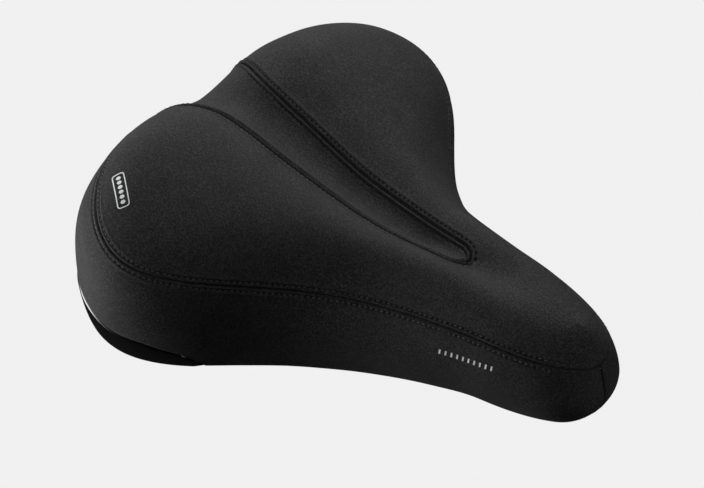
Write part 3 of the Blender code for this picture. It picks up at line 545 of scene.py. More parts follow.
# ----------------------------------------------------------------------------- mesh helpers
def make(name, verts, faces, mat, body="saddle_top", smooth=True, sharp=None, drawing=True):
    """A mesh object from drawing millimetres, riding on a body, or on none."""
    co = to_part(verts) if drawing else np.asarray(verts, float)
    mesh = bpy.data.meshes.new(name)
    mesh.from_pydata([tuple(v) for v in co], [], [tuple(int(i) for i in f) for f in faces])
    mesh.validate()
    mesh.materials.append(mat)
    if smooth:
        mesh.shade_smooth()
        if sharp:
            mesh.set_sharp_from_angle(angle=math.radians(sharp))
    o = bpy.data.objects.new(name, mesh)
    bpy.context.scene.collection.objects.link(o)
    if body:
        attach(o, body)
    return o


def weld(o, dist=2e-6):
    import bmesh
    bm = bmesh.new()
    bm.from_mesh(o.data)
    bmesh.ops.remove_doubles(bm, verts=bm.verts, dist=dist)
    bmesh.ops.dissolve_degenerate(bm, edges=bm.edges, dist=1e-7)
    bmesh.ops.recalc_face_normals(bm, faces=bm.faces)
    bm.to_mesh(o.data)
    bm.free()
    o.data.shade_smooth()


def grid_faces(rows, cols, closed=False, flip=False):
    i = np.arange(rows - 1)[:, None] * cols
    c = np.arange(cols if closed else cols - 1)[None, :]
    d = (c + 1) % cols
    a, b, e, f = i + c, i + d, i + cols + d, i + cols + c
    q = np.stack([a, b, e, f] if not flip else [a, f, e, b], -1).reshape(-1, 4)
    return q


def thicken(o, mm, mat_offset=0):
    """Gives a surface its wall, inwards, as real geometry."""
    s = o.modifiers.new("wall", "SOLIDIFY")
    s.thickness = mm / 1000.0
    s.offset = -1.0
    s.use_rim = True
    s.use_even_offset = False
    apply_modifiers(o)


def apply_modifiers(o):
    dg = bpy.context.evaluated_depsgraph_get()
    dg.update()
    new = bpy.data.meshes.new_from_object(o.evaluated_get(dg))
    old = o.data
    o.modifiers.clear()
    o.data = new
    bpy.data.meshes.remove(old)


def stretch(n, beta=1.8):
    e = np.linspace(0, 1, n)
    return 0.5 * (1 + np.tanh(beta * (2 * e - 1)) / np.tanh(beta))


def unit(v):
    return v / np.maximum(np.linalg.norm(v, axis=-1, keepdims=True), 1e-12)


# ----------------------------------------------------------------------------- seam lines
def tongue_station():
    t = np.linspace(0.1, 2.0, 4000)
    p = skin(t, seam_k(t))
    gap = p[:, 1] - seam_half(p[:, 0])
    return float(t[int(np.argmax(gap > 0))])


TB = tongue_station()
arc_corner = skin(TB, seam_k(TB))


def even_curve(points, step):
    """Resamples a polyline at an even spacing, with its running length."""
    d = np.r_[0, np.cumsum(np.linalg.norm(np.diff(points, axis=0), axis=1))]
    n = max(2, int(round(d[-1] / step)) + 1)
    s = np.linspace(0, d[-1], n)
    return np.stack([np.interp(s, d, points[:, i]) for i in range(3)], -1), s


def tongue_curve(side):
    """The centre panel's seam on one side, from the rear of the crown to the tip."""
    a = np.linspace(0, 1, 400)
    x = arc_corner[0] + (TONGUE_TIP - arc_corner[0]) * np.sin(a * np.pi / 2)
    y = seam_half(x)
    y[0] = arc_corner[1]
    y[-1] = 0.0
    z = crown_z(x, y)
    z[0] = arc_corner[2]
    return np.stack([x, side * y, z], -1)


T_SIDE = np.linspace(TB, TOTAL - TB, 5000)
SIDE_SEAM, SIDE_S = even_curve(skin(T_SIDE, seam_k(T_SIDE)), 0.3)
left, right = tongue_curve(1), tongue_curve(-1)
TONGUE_SEAM, TONGUE_S = even_curve(np.concatenate([left, right[-2::-1]]), 0.3)
tv = np.linspace(0, 1, 300)
REAR_L = skin(np.full(300, TB), seam_k(np.full(300, TB)) + tv * (1 + guard_edge(TB) + 0.1 - seam_k(TB)))
REAR_L, REAR_S = even_curve(REAR_L, 0.3)
NOSE_LINE, NOSE_S = even_curve(skin(np.full(300, 11.0), seam_k(11.0) + tv * (2 - seam_k(11.0))), 0.3)


class Line:
    """Distance from points to a seam, and how far along it they are."""

    def __init__(self, pts, s):
        self.p, self.s = pts, s
        self.t = kdtree.KDTree(len(pts))
        for i, q in enumerate(pts):
            self.t.insert(q, i)
        self.t.balance()

    def near(self, q, limit=7.0):
        q = np.asarray(q, float).reshape(-1, 3)
        lo, hi = self.p.min(0) - limit, self.p.max(0) + limit
        todo = np.where(((q >= lo) & (q <= hi)).all(1))[0]
        d = np.full(len(q), 1e3)
        s = np.zeros(len(q))
        idx = np.zeros(len(todo), int)
        for j, i in enumerate(todo):
            idx[j] = self.t.find(q[i])[1]
        a = self.p[np.maximum(idx - 1, 0)]
        b = self.p[idx]
        c = self.p[np.minimum(idx + 1, len(self.p) - 1)]
        best = np.linalg.norm(q[todo] - b, axis=1)
        along = self.s[idx].copy()
        for u, v, su, sv in ((a, b, self.s[np.maximum(idx - 1, 0)], self.s[idx]),
                             (b, c, self.s[idx], self.s[np.minimum(idx + 1, len(self.p) - 1)])):
            e = v - u
            w = np.clip(((q[todo] - u) * e).sum(1) / np.maximum((e ** 2).sum(1), 1e-12), 0, 1)
            dd = np.linalg.norm(q[todo] - u - e * w[:, None], axis=1)
            better = dd < best
            best = np.where(better, dd, best)
            along = np.where(better, su + (sv - su) * w, along)
        d[todo] = best
        s[todo] = along
        return d, s


side_line = Line(SIDE_SEAM, SIDE_S)
tongue_line = Line(TONGUE_SEAM, TONGUE_S)
rear_left_line = Line(REAR_L, REAR_S)
rear_right_line = Line(REAR_L * np.array([1, -1, 1]), REAR_S)
nose_line = Line(NOSE_LINE, NOSE_S)

PITCH = 2.6          # stitch spacing
SIDE_ROW = 2.1       # the side seam's stitch rows, each side of it
TONGUE_ROW = 2.3     # the centre panel's


def bell(d, c, w):
    return np.exp(-((d - c) / w) ** 2)


def felled(d, s):
    """Profile of the centre panel's double-stitched seam: a fine groove between two rolls."""
    tick = (0.5 + 0.5 * np.cos(2 * np.pi * s / PITCH)) ** 1.5
    h = -1.20 * bell(d, 0, 0.42) + (0.86 - 0.22 * tick) * bell(d, 1.2, 0.45)
    h -= (0.70 + 0.45 * tick) * bell(d, TONGUE_ROW, 0.40)
    return h + 0.30 * bell(d, 3.4, 0.9)


def topstitched(d, s, fade, depth=1.0):
    """Profile of the side seam: a low joint between two rows of stitches."""
    tick = (0.5 + 0.5 * np.cos(2 * np.pi * s / PITCH)) ** 1.5
    h = -1.00 * bell(d, 0, 0.46) + (0.36 - 0.20 * tick) * bell(d, 1.15, 0.60)
    h -= fade * depth * (0.40 + 0.85 * tick) * bell(d, SIDE_ROW, 0.50)
    return h + fade * 0.34 * bell(d, 3.2, 0.8)


def plain(d):
    return -0.75 * bell(d, 0, 0.38) + 0.12 * bell(d, 1.5, 0.9)


def nose_fade(x):
    return 1 - 0.92 * np.clip((x - 100) / 14.0, 0, 1)


def relief(q, which):
    """How far each point of a panel is raised or sunk by the seams near it."""
    h = np.zeros(len(q))
    if "side" in which:
        d, s = side_line.near(q)
        u = np.clip((q[:, 0] + 85.0) / 55.0, 0, 1)
        rear = 0.55 + 0.45 * u * u * (3 - 2 * u)       # pulled flatter round the rear
        front = nose_fade(q[:, 0])                     # and before the nose
        h += rear * (0.55 + 0.45 * front) * topstitched(d, s, front, 0.7 if "nose" in which else 1.0)
    if "tongue" in which:
        d, s = tongue_line.near(q)
        h += felled(d, s)
    for word, line in (("rear_left", rear_left_line), ("rear_right", rear_right_line)):
        if word in which:
            d, s = line.near(q)
            h += felled(d, s) * 0.8
    if "nose" in which:
        d, s = nose_line.near(q)
        h += plain(d)
    return np.maximum(h, -1.25)


def soften(q):
    """The slow unevenness of a hand-stretched cover, a few hundredths of a millimetre to a tenth."""
    x, y, z = q[:, 0], np.abs(q[:, 1]), q[:, 2]
    sgn = np.sign(q[:, 1])
    return (0.05 * np.sin(x / 9.1 + 0.8 * sgn) * np.sin(y / 7.7 + 1.3) + 0.04 * np.sin(x / 5.3 + y / 6.1 + z / 8.0 + sgn)
            + 0.03 * np.sin(y / 4.4 - x / 11.0 + 2.0 * sgn))


# ----------------------------------------------------------------------------- top panel
def crossing(t):
    """rho where each section leaves the centre panel, or 0 ahead of its tip."""
    f = fold(t)
    x0 = spine_half(f)
    wx, wy = WX(f), np.abs(WY(f))
    r = np.linspace(0, 1, 4001)
    out = np.zeros(len(t))
    for i in range(len(t)):
        if x0[i] > TONGUE_TIP:
            continue
        x = x0[i] + (wx[i] - x0[i]) * r
        gap = wy[i] * r - seam_half(x)
        inside_panel = np.where(gap < 0)[0]
        if len(inside_panel):
            j = inside_panel[-1]
            if j + 1 < len(r):
                g0, g1 = gap[j], gap[j + 1]
                out[i] = r[j] + (r[j + 1] - r[j]) * g0 / (g0 - g1)
            else:
                out[i] = 1.0
    return out


def column_points(t, k0, k1, fractions):
    """Rows of points down each section between k0 and k1, spaced by true length."""
    fine = np.linspace(0, 1, 241)
    kk = k0[:, None] + (k1 - k0)[:, None] * fine[None, :]
    p = skin(t[:, None], kk)
    seg = np.linalg.norm(np.diff(p, axis=1), axis=2)
    s = np.concatenate([np.zeros((len(t), 1)), np.cumsum(seg, axis=1)], axis=1)
    out = np.zeros((len(t), len(fractions)))
    for i in range(len(t)):
        out[i] = np.interp(fractions * s[i, -1], s[i], kk[i])
    return out, s[:, -1]


def station_spread(t0, t1, n):
    """Stations evenly spaced along the side seam."""
    t = np.linspace(t0, t1, 4000)
    p = skin(t, seam_k(t))
    d = np.r_[0, np.cumsum(np.linalg.norm(np.diff(p, axis=0), axis=1))]
    return np.interp(np.linspace(0, d[-1], n), d, t)


def build_top():
    n = 1041
    t = station_spread(TB + 1e-4, TOTAL - TB - 1e-4, n)
    rho = crossing(t)
    p = np.clip(PP(t), 1.9, 8)
    k0 = np.arcsin(np.clip(rho, 0, 1) ** (p / 2)) / (np.pi / 2)
    k1 = seam_k(t)
    k0 = np.minimum(k0, k1 - 1e-4)
    rows = stretch(104, 1.75)
    kk, _ = column_points(t, k0, k1, rows)
    q = skin(t[:, None], kk)
    nrm = skin_normal(t[:, None], np.clip(kk, 0.004, 1.99))
    on_spine = (rho < 1e-9)
    nrm[on_spine, 0, 1] = 0.0
    nrm = unit(nrm)
    flat, nf = q.reshape(-1, 3), nrm.reshape(-1, 3)
    h = relief(flat, ("side", "tongue")) + soften(flat)
    v = flat + nf * h[:, None]
    return make("cover_top", v, grid_faces(n, 104, flip=False), FABRIC), (t, kk)


def build_side(side):
    n = 600
    t = station_spread(TB, 11.0, n) if side > 0 else station_spread(11.0, TOTAL - TB, n)
    f = fold(t)
    k0 = seam_k(t)
    g = guard_edge(f)
    mix = np.clip((f - 5.06) / 0.10, 0, 1)
    k1 = 1 + g + (1 - g) * mix
    rows = 62
    kk, _ = column_points(t, k0, k1, np.concatenate([stretch(2 * rows, 1.9)[:rows] / stretch(2 * rows, 1.9)[rows - 1]]))
    q = skin(t[:, None], kk)
    nrm = skin_normal(t[:, None], np.clip(kk, 0.004, 1.99))
    flat, nf = q.reshape(-1, 3), nrm.reshape(-1, 3)
    rear = "rear_left" if side > 0 else "rear_right"
    h = relief(flat, ("side", rear, "nose")) + soften(flat)
    v = (flat + nf * h[:, None]).reshape(q.shape)
    # the lower border: turned under the base, or tucked behind the guard
    end, en = v[:, -1], nrm[:, -1]
    inn = np.concatenate([inward(t), np.zeros((n, 1))], 1)
    down = np.array([0.0, 0.0, -1.0])
    hem = 4.5 - 2.0 * np.clip((f - 6.2) / 0.9, 0, 1)
    tail = []
    for a, b in ((0.25, 0.35), (0.7, 0.62), (1.3, 0.72), (2.2, 0.66), (3.0, 0.55)):
        fold_under = end + inn * (a * hem / 3.0)[:, None] + down * b * 0.8
        tuck = end - en * (min(a, 1.9)) + down * b * 0.5
        w = mix[:, None]
        tail.append(fold_under * w + tuck * (1 - w))
    v = np.concatenate([v, np.stack(tail, 1)], axis=1)
    name = "cover_side_l" if side > 0 else "cover_side_r"
    return make(name, v.reshape(-1, 3), grid_faces(n, v.shape[1]), FABRIC_SIDE), (t, kk)


def build_centre():
    cols = 57
    e = stretch(cols, 1.5) * 2 - 1
    # stations across the rear whose widths follow the same spacing
    tt = np.linspace(-TB, TB, 4001)
    arc = skin(tt, seam_k(tt))
    frac = arc[:, 1] / arc_corner[1]
    t = np.interp(e, frac, tt)
    t[0], t[-1] = -TB, TB
    top_arc = skin(t, seam_k(t))
    rear_rows = 42
    ks = seam_k(t)
    ke = 1 + guard_edge(fold(t))
    kk, _ = column_points(t, ks, ke, np.linspace(0, 1, rear_rows))
    rear = skin(t[:, None], kk)
    rear_n = skin_normal(t[:, None], kk)
    crown_rows = 300
    a = np.linspace(0, 1, crown_rows)[1:]
    u = 1 - (1 - a) ** 1.35
    x = arc_corner[0] + (TONGUE_TIP - arc_corner[0]) * u
    w = seam_half(x)
    drop = (1 - np.clip(u / 0.14, 0, 1)) ** 2
    X = x[:, None] + (top_arc[:, 0] - arc_corner[0])[None, :] * drop[:, None]
    Y = w[:, None] * (top_arc[:, 1] / arc_corner[1])[None, :]
    pt, nm = crown_at(X, Y)
    q = np.concatenate([rear.transpose(1, 0, 2)[::-1], pt], 0)
    nrm = np.concatenate([rear_n.transpose(1, 0, 2)[::-1], nm], 0)
    flat, nf = q.reshape(-1, 3), unit(nrm.reshape(-1, 3))
    h = relief(flat, ("tongue", "rear_left", "rear_right")) + soften(flat)
    # at the corners only one of the lines counts twice
    h = np.maximum(h, -1.2)
    v = (flat + nf * h[:, None]).reshape(q.shape)
    end, en = v[0], nrm[0]
    tail = [end - en * s + np.array([0, 0, -d]) for s, d in ((1.9, 0.36), (1.3, 0.34), (0.7, 0.3), (0.25, 0.18))]
    v = np.concatenate([np.stack(tail, 0), v], 0)
    return make("cover_centre", v.reshape(-1, 3), grid_faces(v.shape[0], cols, flip=True), FABRIC)


cover_top, TOP_GRID = build_top()
cover_left, LEFT_GRID = build_side(1)
cover_right, RIGHT_GRID = build_side(-1)
cover_centre = build_centre()
for o in (cover_top, cover_left, cover_right, cover_centre):
    weld(o)
    thicken(o, 0.7)
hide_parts("cover_top_panel")
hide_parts("cover_side_left")
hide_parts("cover_side_right")
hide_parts("cover_centre_panel")


# ----------------------------------------------------------------------------- stitches
def stitches(name, points, normals, tangents, length=1.75, radius=0.28, lift=0.0):
    """One thread stitch at each point: a short rounded bar whose ends dive into the cloth."""
    seg, rings = 7, 7
    u = np.linspace(-1, 1, rings)
    r = radius * np.sqrt(np.clip(1 - u ** 2, 0, 1)) ** 0.6
    r[0] = r[-1] = radius * 0.15
    dive = -0.22 * u ** 4
    a = np.linspace(0, 2 * np.pi, seg, endpoint=False)
    tx = u[:, None] * length / 2 + 0 * a
    ty = r[:, None] * np.cos(a)
    tz = r[:, None] * np.sin(a) * 0.8 + dive[:, None]
    template = np.stack([tx, ty, tz], -1).reshape(-1, 3)
    n = unit(normals)
    tg = unit(tangents - n * (tangents * n).sum(1, keepdims=True))
    bi = np.cross(n, tg)
    count = len(points)
    wob = rng.uniform(-0.10, 0.10, (count, 2))
    tg2 = unit(tg + bi * wob[:, :1])
    bi2 = np.cross(n, tg2)
    v = (points[:, None, :] + template[None, :, 0:1] * tg2[:, None, :] + template[None, :, 1:2] * bi2[:, None, :]
         + (template[None, :, 2:3] + lift) * n[:, None, :])
    body = grid_faces(rings, seg, closed=True)
    caps = [list(range(seg))[::-1]]
    caps2 = [[(rings - 1) * seg + i for i in range(seg)]]
    faces = []
    for i in range(count):
        base = i * rings * seg
        faces += (body + base).tolist()
        faces += [[base + j for j in caps[0]], [base + j for j in caps2[0]]]
    return make(name, v.reshape(-1, 3), faces, THREAD)


def row_points(line_pts, s, offset_pts, profile_h, normals, skip=0.0, start=0.0, end=None):
    """Points at the stitch pitch along an offset row; the sinks lie halfway between them."""
    end = s[-1] if end is None else end
    at = np.arange(math.ceil(start / PITCH) + 0.5, end / PITCH - 0.4) * PITCH
    pts = np.stack([np.interp(at, s, offset_pts[:, i]) for i in range(3)], -1)
    nrm = np.stack([np.interp(at, s, normals[:, i]) for i in range(3)], -1)
    tg = np.stack([np.interp(at, s, np.gradient(offset_pts[:, i], s)) for i in range(3)], -1)
    return pts + unit(nrm) * profile_h, nrm, tg


def offset_on_skin(t, k_from, sign, dist):
    """Points dist along each section from k_from, and their normals."""
    kk = k_from[:, None] + sign * np.linspace(0, 0.35, 120)[None, :]
    kk = np.clip(kk, 0.002, 2.0)
    p = skin(t[:, None], kk)
    s = np.concatenate([np.zeros((len(t), 1)), np.cumsum(np.linalg.norm(np.diff(p, axis=1), axis=2), axis=1)], 1)
    k = np.array([np.interp(dist, s[i], kk[i]) for i in range(len(t))])
    return skin(t, k), skin_normal(t, np.clip(k, 0.004, 1.99))


def running(points):
    return np.r_[0, np.cumsum(np.linalg.norm(np.diff(points, axis=0), axis=1))]


ts = station_spread(TB + 0.03, TOTAL - TB - 0.03, 2400)
seam_pts = skin(ts, seam_k(ts))
seam_run = side_line.near(seam_pts)[1]
for label, sign in (("upper", -1), ("lower", 1)):
    off, nr = offset_on_skin(ts, seam_k(ts), sign, SIDE_ROW)
    order = np.argsort(seam_run)
    pts, nrm, tg = row_points(None, seam_run[order], off[order], -0.10, nr[order], start=1.5)
    fade = nose_fade(pts[:, 0])
    pts = pts - unit(nrm) * (1 - fade)[:, None] * 0.30
    stitches("stitches_side_" + label, pts, nrm, tg)

for label, sign in (("outer", 1), ("inner", -1)):
    c = TONGUE_SEAM
    tan = np.stack([np.gradient(c[:, 0]), np.gradient(c[:, 1])], -1)
    tan = unit(tan)
    out = np.stack([-tan[:, 1], tan[:, 0]], -1) * sign      # left of travel is outwards on the way forward
    xy = c[:, :2] + out * TONGUE_ROW
    keep = (xy[:, 0] > arc_corner[0] + 2.0)
    if sign < 0:
        keep &= np.abs(xy[:, 1]) <= seam_half(xy[:, 0]) + 0.2
        keep &= (xy[:, 0] < TONGUE_TIP - 1.5)
    pt, nm = crown_at(xy[keep, 0], xy[keep, 1])
    pts, nrm, tg = row_points(None, TONGUE_S[keep], pt, -0.22, nm, start=TONGUE_S[keep][0] + 0.5)
    stitches("stitches_centre_" + label, pts, nrm, tg)

for side in (1, -1):
    tb = TB * side
    for label, away in (("out", 1), ("in", -1)):
        p0 = REAR_L * np.array([1, side, 1])
        keep = slice(8, len(p0) - 12)
        dt = 0.004
        step = np.linalg.norm(skin(tb + dt, 1.0) - skin(tb, 1.0)) / dt
        t2 = tb + side * away * TONGUE_ROW / step
        k2 = seam_k(TB) + np.linspace(0, 1, 300) * (1 + guard_edge(TB) - seam_k(TB))
        c2 = skin(np.full(300, t2), k2)
        n2 = skin_normal(np.full(300, t2), k2)
        s2 = running(c2)
        pts, nrm, tg = row_points(None, s2, c2, -0.20, n2, start=1.5, end=s2[-1] - 1.0)
        stitches("stitches_rear_%s_%s" % ("l" if side > 0 else "r", label), pts, nrm, tg)


# ----------------------------------------------------------------------------- rear guard
def build_guard():
    n = 521
    tt = np.linspace(-GUARD_END + 0.02, GUARD_END - 0.02, 4000)
    p = skin(tt, np.full(4000, 2.0))
    d = np.r_[0, np.cumsum(np.linalg.norm(np.diff(p, axis=0), axis=1))]
    t = np.interp(np.linspace(0, d[-1], n), d, tt)
    g = guard_edge(fold(t))
    rows = 26
    # the wall starts a little below the cloth's edge; above it the plastic rounds inwards
    deep = np.linalg.norm(skin(t, np.full(n, 2.0)) - skin(t, 1 + g), axis=1)
    k_first = (1 + g) + (1 - g) * np.minimum(1.8 / np.maximum(deep, 1e-3), 0.30)
    top_edge = skin(t, 1 + g)
    k = k_first[:, None] + (2 - k_first)[:, None] * np.linspace(0, 1, rows)[None, :]
    q = skin(t[:, None], k)
    nr = skin_normal(t[:, None], np.clip(k, 0.01, 1.996))
    proud = 0.60
    end_fade = np.clip((GUARD_END - fold(t)) / 0.16, 0.0, 1.0) ** 0.5
    up_dir = unit(top_edge - q[:, 0])
    r = np.linalg.norm(top_edge - q[:, 0], axis=1)[:, None]
    loop = [q[:, 0] - nr[:, 0] * 1.5 + up_dir * r * 0.6]
    for a in np.radians([118, 100, 84, 70, 57, 45, 34, 24, 15, 7]):
        loop.append(q[:, 0] + nr[:, 0] * (proud - r) + up_dir * (r * math.sin(a)) + nr[:, 0] * (r * math.cos(a)))
    for j in range(rows):
        swell = proud * (1 - 0.35 * (j / (rows - 1)) ** 6)
        loop.append(q[:, j] + nr[:, j] * swell)
    low = q[:, -1]
    inn = np.concatenate([inward(t), np.zeros((n, 1))], 1)
    for a in (20, 45, 70):
        ra = math.radians(a)
        loop.append(low + nr[:, -1] * 0.35 * math.cos(ra) + inn * (1.5 * (1 - math.cos(ra))) + np.array([0, 0, -0.5]) * math.sin(ra))
    for w in (2.4, 4.5, 6.4, 7.4):
        loop.append(low + inn * w + np.array([0, 0, -0.5 + 0.15 * (w / 7.4)]))
    loop.append(low + inn * 8.0 + np.array([0, 0, 0.2]))
    loop.append(low + inn * 7.7 + np.array([0, 0, 0.9]))
    for w in (5.5, 3.6):
        loop.append(low + inn * w + np.array([0, 0, 1.3]))
    for j in (rows - 4, rows // 2, 2, 0):
        loop.append(q[:, j] - nr[:, j] * 1.9)
    v = np.stack(loop, 0)
    # the front ends taper to a thin tongue
    mid = v.mean(0, keepdims=True)
    v = mid + (v - mid) * (0.25 + 0.75 * end_fade)[None, :, None]
    m = len(loop)
    faces = []
    for i in range(m):
        a, b = i * n, ((i + 1) % m) * n
        for c in range(n - 1):
            faces.append((a + c, b + c, b + c + 1, a + c + 1))
    faces.append([i * n for i in range(m)])
    faces.append([i * n + n - 1 for i in range(m)][::-1])
    o = make("guard_shell", v.reshape(-1, 3), faces, GLOSS)
    weld(o)
    return o


guard = build_guard()
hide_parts("rear_guard")


# ----------------------------------------------------------------------------- base
def base_profile(t):
    """The base's section at each station: rim, flange, wall and flat top, with rounded knees."""
    feet = foot_half(fold(t))

    def rim_at(dz, deep):
        wz, lz = WZ(t), LOW_Z(t)
        s = 1 - dz / (wz - lz)
        q = skin(t, 1 + s)
        d = inward(t)
        return np.stack([q[:, 0] + d[:, 0] * deep, q[:, 1] + d[:, 1] * deep, lz + dz], -1)

    in_guard = fold(t) < GUARD_END + 0.2
    deep0 = np.where(in_guard, GUARD + 1.6, COVER + 1.4)
    rim_z = 6.2
    rim = rim_at(rim_z, deep0)
    to_foot = np.stack([feet - rim[:, 0], -rim[:, 1]], -1)
    reach = np.linalg.norm(to_foot, axis=1)
    to_foot /= reach[:, None]
    f = fold(t)
    flange = np.interp(f, [0, 5.25, 5.5, 6.6, 7.0, 11], [7.0, 7.0, 3.5, 3.5, 1.2, 1.2])
    top_z = base_top(feet + 0.0)
    wall = np.maximum(top_z - rim[:, 2], 0.5) * 0.42
    scale = np.minimum(1.0, (reach - 2.0) / (flange + wall))
    d1, d2 = flange * scale, (flange + wall) * scale

    def section(deep):
        slope = np.arctan2(top_z - rim[:, 2], d2 - d1)
        m = np.tan(slope / 2) * deep
        rows = [rim_at(rim_z - deep, deep0)]
        for dist, z in ((d1 + m, rim[:, 2]), (d2 + m, top_z)):
            q = rim[:, :2] + to_foot * dist[:, None]
            rows.append(np.concatenate([q, (z - deep)[:, None]], 1))
        rows.append(np.stack([feet, np.zeros(len(t)), base_top(feet) - deep], 1))
        return rows

    return section


def rounded(rows, radius):
    """Cuts the knees of a profile with short arcs."""
    out = [rows[0]]
    for i in range(1, len(rows) - 1):
        a, b, c = rows[i - 1], rows[i], rows[i + 1]
        la, lc = np.linalg.norm(a - b, axis=1), np.linalg.norm(c - b, axis=1)
        r = np.minimum(radius, 0.45 * np.minimum(la, lc))[:, None]
        p0, p2 = b + unit(a - b) * r, b + unit(c - b) * r
        for w in (0.0, 0.25, 0.5, 0.75, 1.0):
            out.append((1 - w) ** 2 * p0 + 2 * w * (1 - w) * b + w * w * p2)
    out.append(rows[-1])
    return out


def build_base():
    n = 480
    t = np.interp(np.linspace(0, 1, n + 1)[:-1], [0, 1], [0, TOTAL])
    s = base_profile(t)
    up, down = rounded(s(0.0), 3.2), rounded(s(SHELL), 2.6)
    mid = 0.5 * (up[0] + down[0])
    inn = np.concatenate([inward(t), np.zeros((n, 1))], 1)
    edge = [0.85 * up[0] + 0.15 * mid - inn * 0.25, mid - inn * 0.4, 0.85 * down[0] + 0.15 * mid - inn * 0.25]
    ring = up[::-1] + edge + down
    v = np.stack(ring, 0)
    o = make("base_moulding", v.reshape(-1, 3), grid_faces(len(ring), n, closed=True), BASE_MAT, sharp=50)
    weld(o)
    o.data.set_sharp_from_angle(angle=math.radians(50))
    return o


base = build_base()
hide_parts("base_shell")


def turned(profile, cx, cy, segments=48, closed_ring=None):
    verts, faces, rings = [], [], []
    for r, z in profile:
        if r < 1e-6:
            rings.append([len(verts)])
            verts.append((cx, cy, z))
        else:
            rings.append(list(range(len(verts), len(verts) + segments)))
            for i in range(segments):
                a = (i + 0.5) / segments * 2 * math.pi
                verts.append((cx + r * math.cos(a), cy + r * math.sin(a), z))
    closed = profile[0][0] > 1e-6
    pairs = list(zip(rings, rings[1:] + (rings[:1] if closed else [])))
    if not closed:
        pairs = list(zip(rings, rings[1:]))
    for a, b in pairs:
        for i in range(segments):
            j = (i + 1) % segments
            if len(a) == 1:
                faces.append((a[0], b[i], b[j]))
            elif len(b) == 1:
                faces.append((a[i], b[0], a[j]))
            else:
                faces.append((a[i], b[i], b[j], a[j]))
    return verts, faces


def round_corners(profile, r=0.4, closed=False):
    """Softens the corners of a turned profile."""
    p = [np.array(q, float) for q in profile]
    out = []
    n = len(p)
    for i in range(n):
        if not closed and i in (0, n - 1):
            out.append(tuple(p[i]))
            continue
        a, b, c = p[i - 1], p[i], p[(i + 1) % n]
        if b[0] < 1e-6:
            out.append(tuple(b))
            continue
        ra = min(r, 0.4 * np.linalg.norm(a - b), 0.4 * np.linalg.norm(c - b))
        p0, p2 = b + (a - b) / np.linalg.norm(a - b) * ra, b + (c - b) / np.linalg.norm(c - b) * ra
        for w in (0, 0.33, 0.67, 1):
            out.append(tuple((1 - w) ** 2 * p0 + 2 * w * (1 - w) * b + w * w * p2))
    return out


def lathe(name, profile, cx, cy, mat, body, r=0.4, segments=48, closed=False, sharp=35):
    v, f = turned(round_corners(profile, r, closed), cx, cy, segments)
    o = make(name, v, f, mat, body, sharp=sharp)
    weld(o)
    o.data.set_sharp_from_angle(angle=math.radians(sharp))
    return o


for tag, s in (("l", 1), ("r", -1)):
    boss = lathe("base_boss_" + tag, [(3.2, BOSS_Z), (BOSS_R, BOSS_Z), (BOSS_R + 1.6, -8.6), (BOSS_R + 1.6, -7.4), (3.2, -7.4)],
                 BOLT_X, s * BOLT_Y, BASE_MAT, "saddle_top", 0.7, 64, True)


# ----------------------------------------------------------------------------- foam and gel under the cover
def build_foam():
    n = 200
    t = np.linspace(0, TOTAL, n + 1)[:-1]
    ks = np.concatenate([[0.02], np.sin(np.linspace(0.03, 1.0, 26) * np.pi / 2)])
    rows = []
    for k in ks:
        kk = np.full(n, k)
        rows.append(skin(t, kk) - skin_normal(t, kk) * 2.3)
    g = guard_edge(fold(t))
    for w in (0.25, 0.5):
        kk = 1 + w * np.minimum(0.5 * g, 0.3) * 2
        rows.append(skin(t, kk) - skin_normal(t, kk) * 2.5)
    under = base_profile(t)(-0.6)
    under[0] = under[0] - np.concatenate([inward(t) * -1.2, np.zeros((n, 1))], 1)
    rows += under
    v = np.stack(rows, 0)
    o = make("foam_core", v.reshape(-1, 3), grid_faces(len(rows), n, closed=True), FOAM)
    weld(o, 3e-5)
    return o


foam = build_foam()
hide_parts("foam_pad")

for tag, side in (("left", 1), ("right", -1)):
    n, rings = 64, 12
    a = np.linspace(0, 2 * np.pi, n, endpoint=False)
    turn = math.radians(18.0)
    out = []
    for j, fr in enumerate(np.linspace(1, 0.04, rings)):
        u, w = 31.0 * fr * np.cos(a), 21.0 * fr * np.sin(a)
        x = -72.0 + math.cos(turn) * u + math.sin(turn) * w
        y = side * (57.0 - math.sin(turn) * u + math.cos(turn) * w)
        p, nn = crown_at(x, y)
        plump = 3.2 * math.sqrt(max(0.0, 1 - fr ** 2)) ** 0.8
        out.append((p, nn, plump))
    top = [p - nn * (5.9 - pl) for p, nn, pl in out]
    bottom = [p - nn * (5.9 + pl) for p, nn, pl in out]
    ring = top[::-1] + bottom[1:]
    v = np.stack(ring, 0)
    faces = grid_faces(len(ring), n, closed=True).tolist()
    faces += [list(range(n)), [(len(ring) - 1) * n + i for i in range(n)][::-1]]
    o = make("gel_core_" + tag, v.reshape(-1, 3), faces, GEL)
    weld(o)
    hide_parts("gel_insert_" + tag)


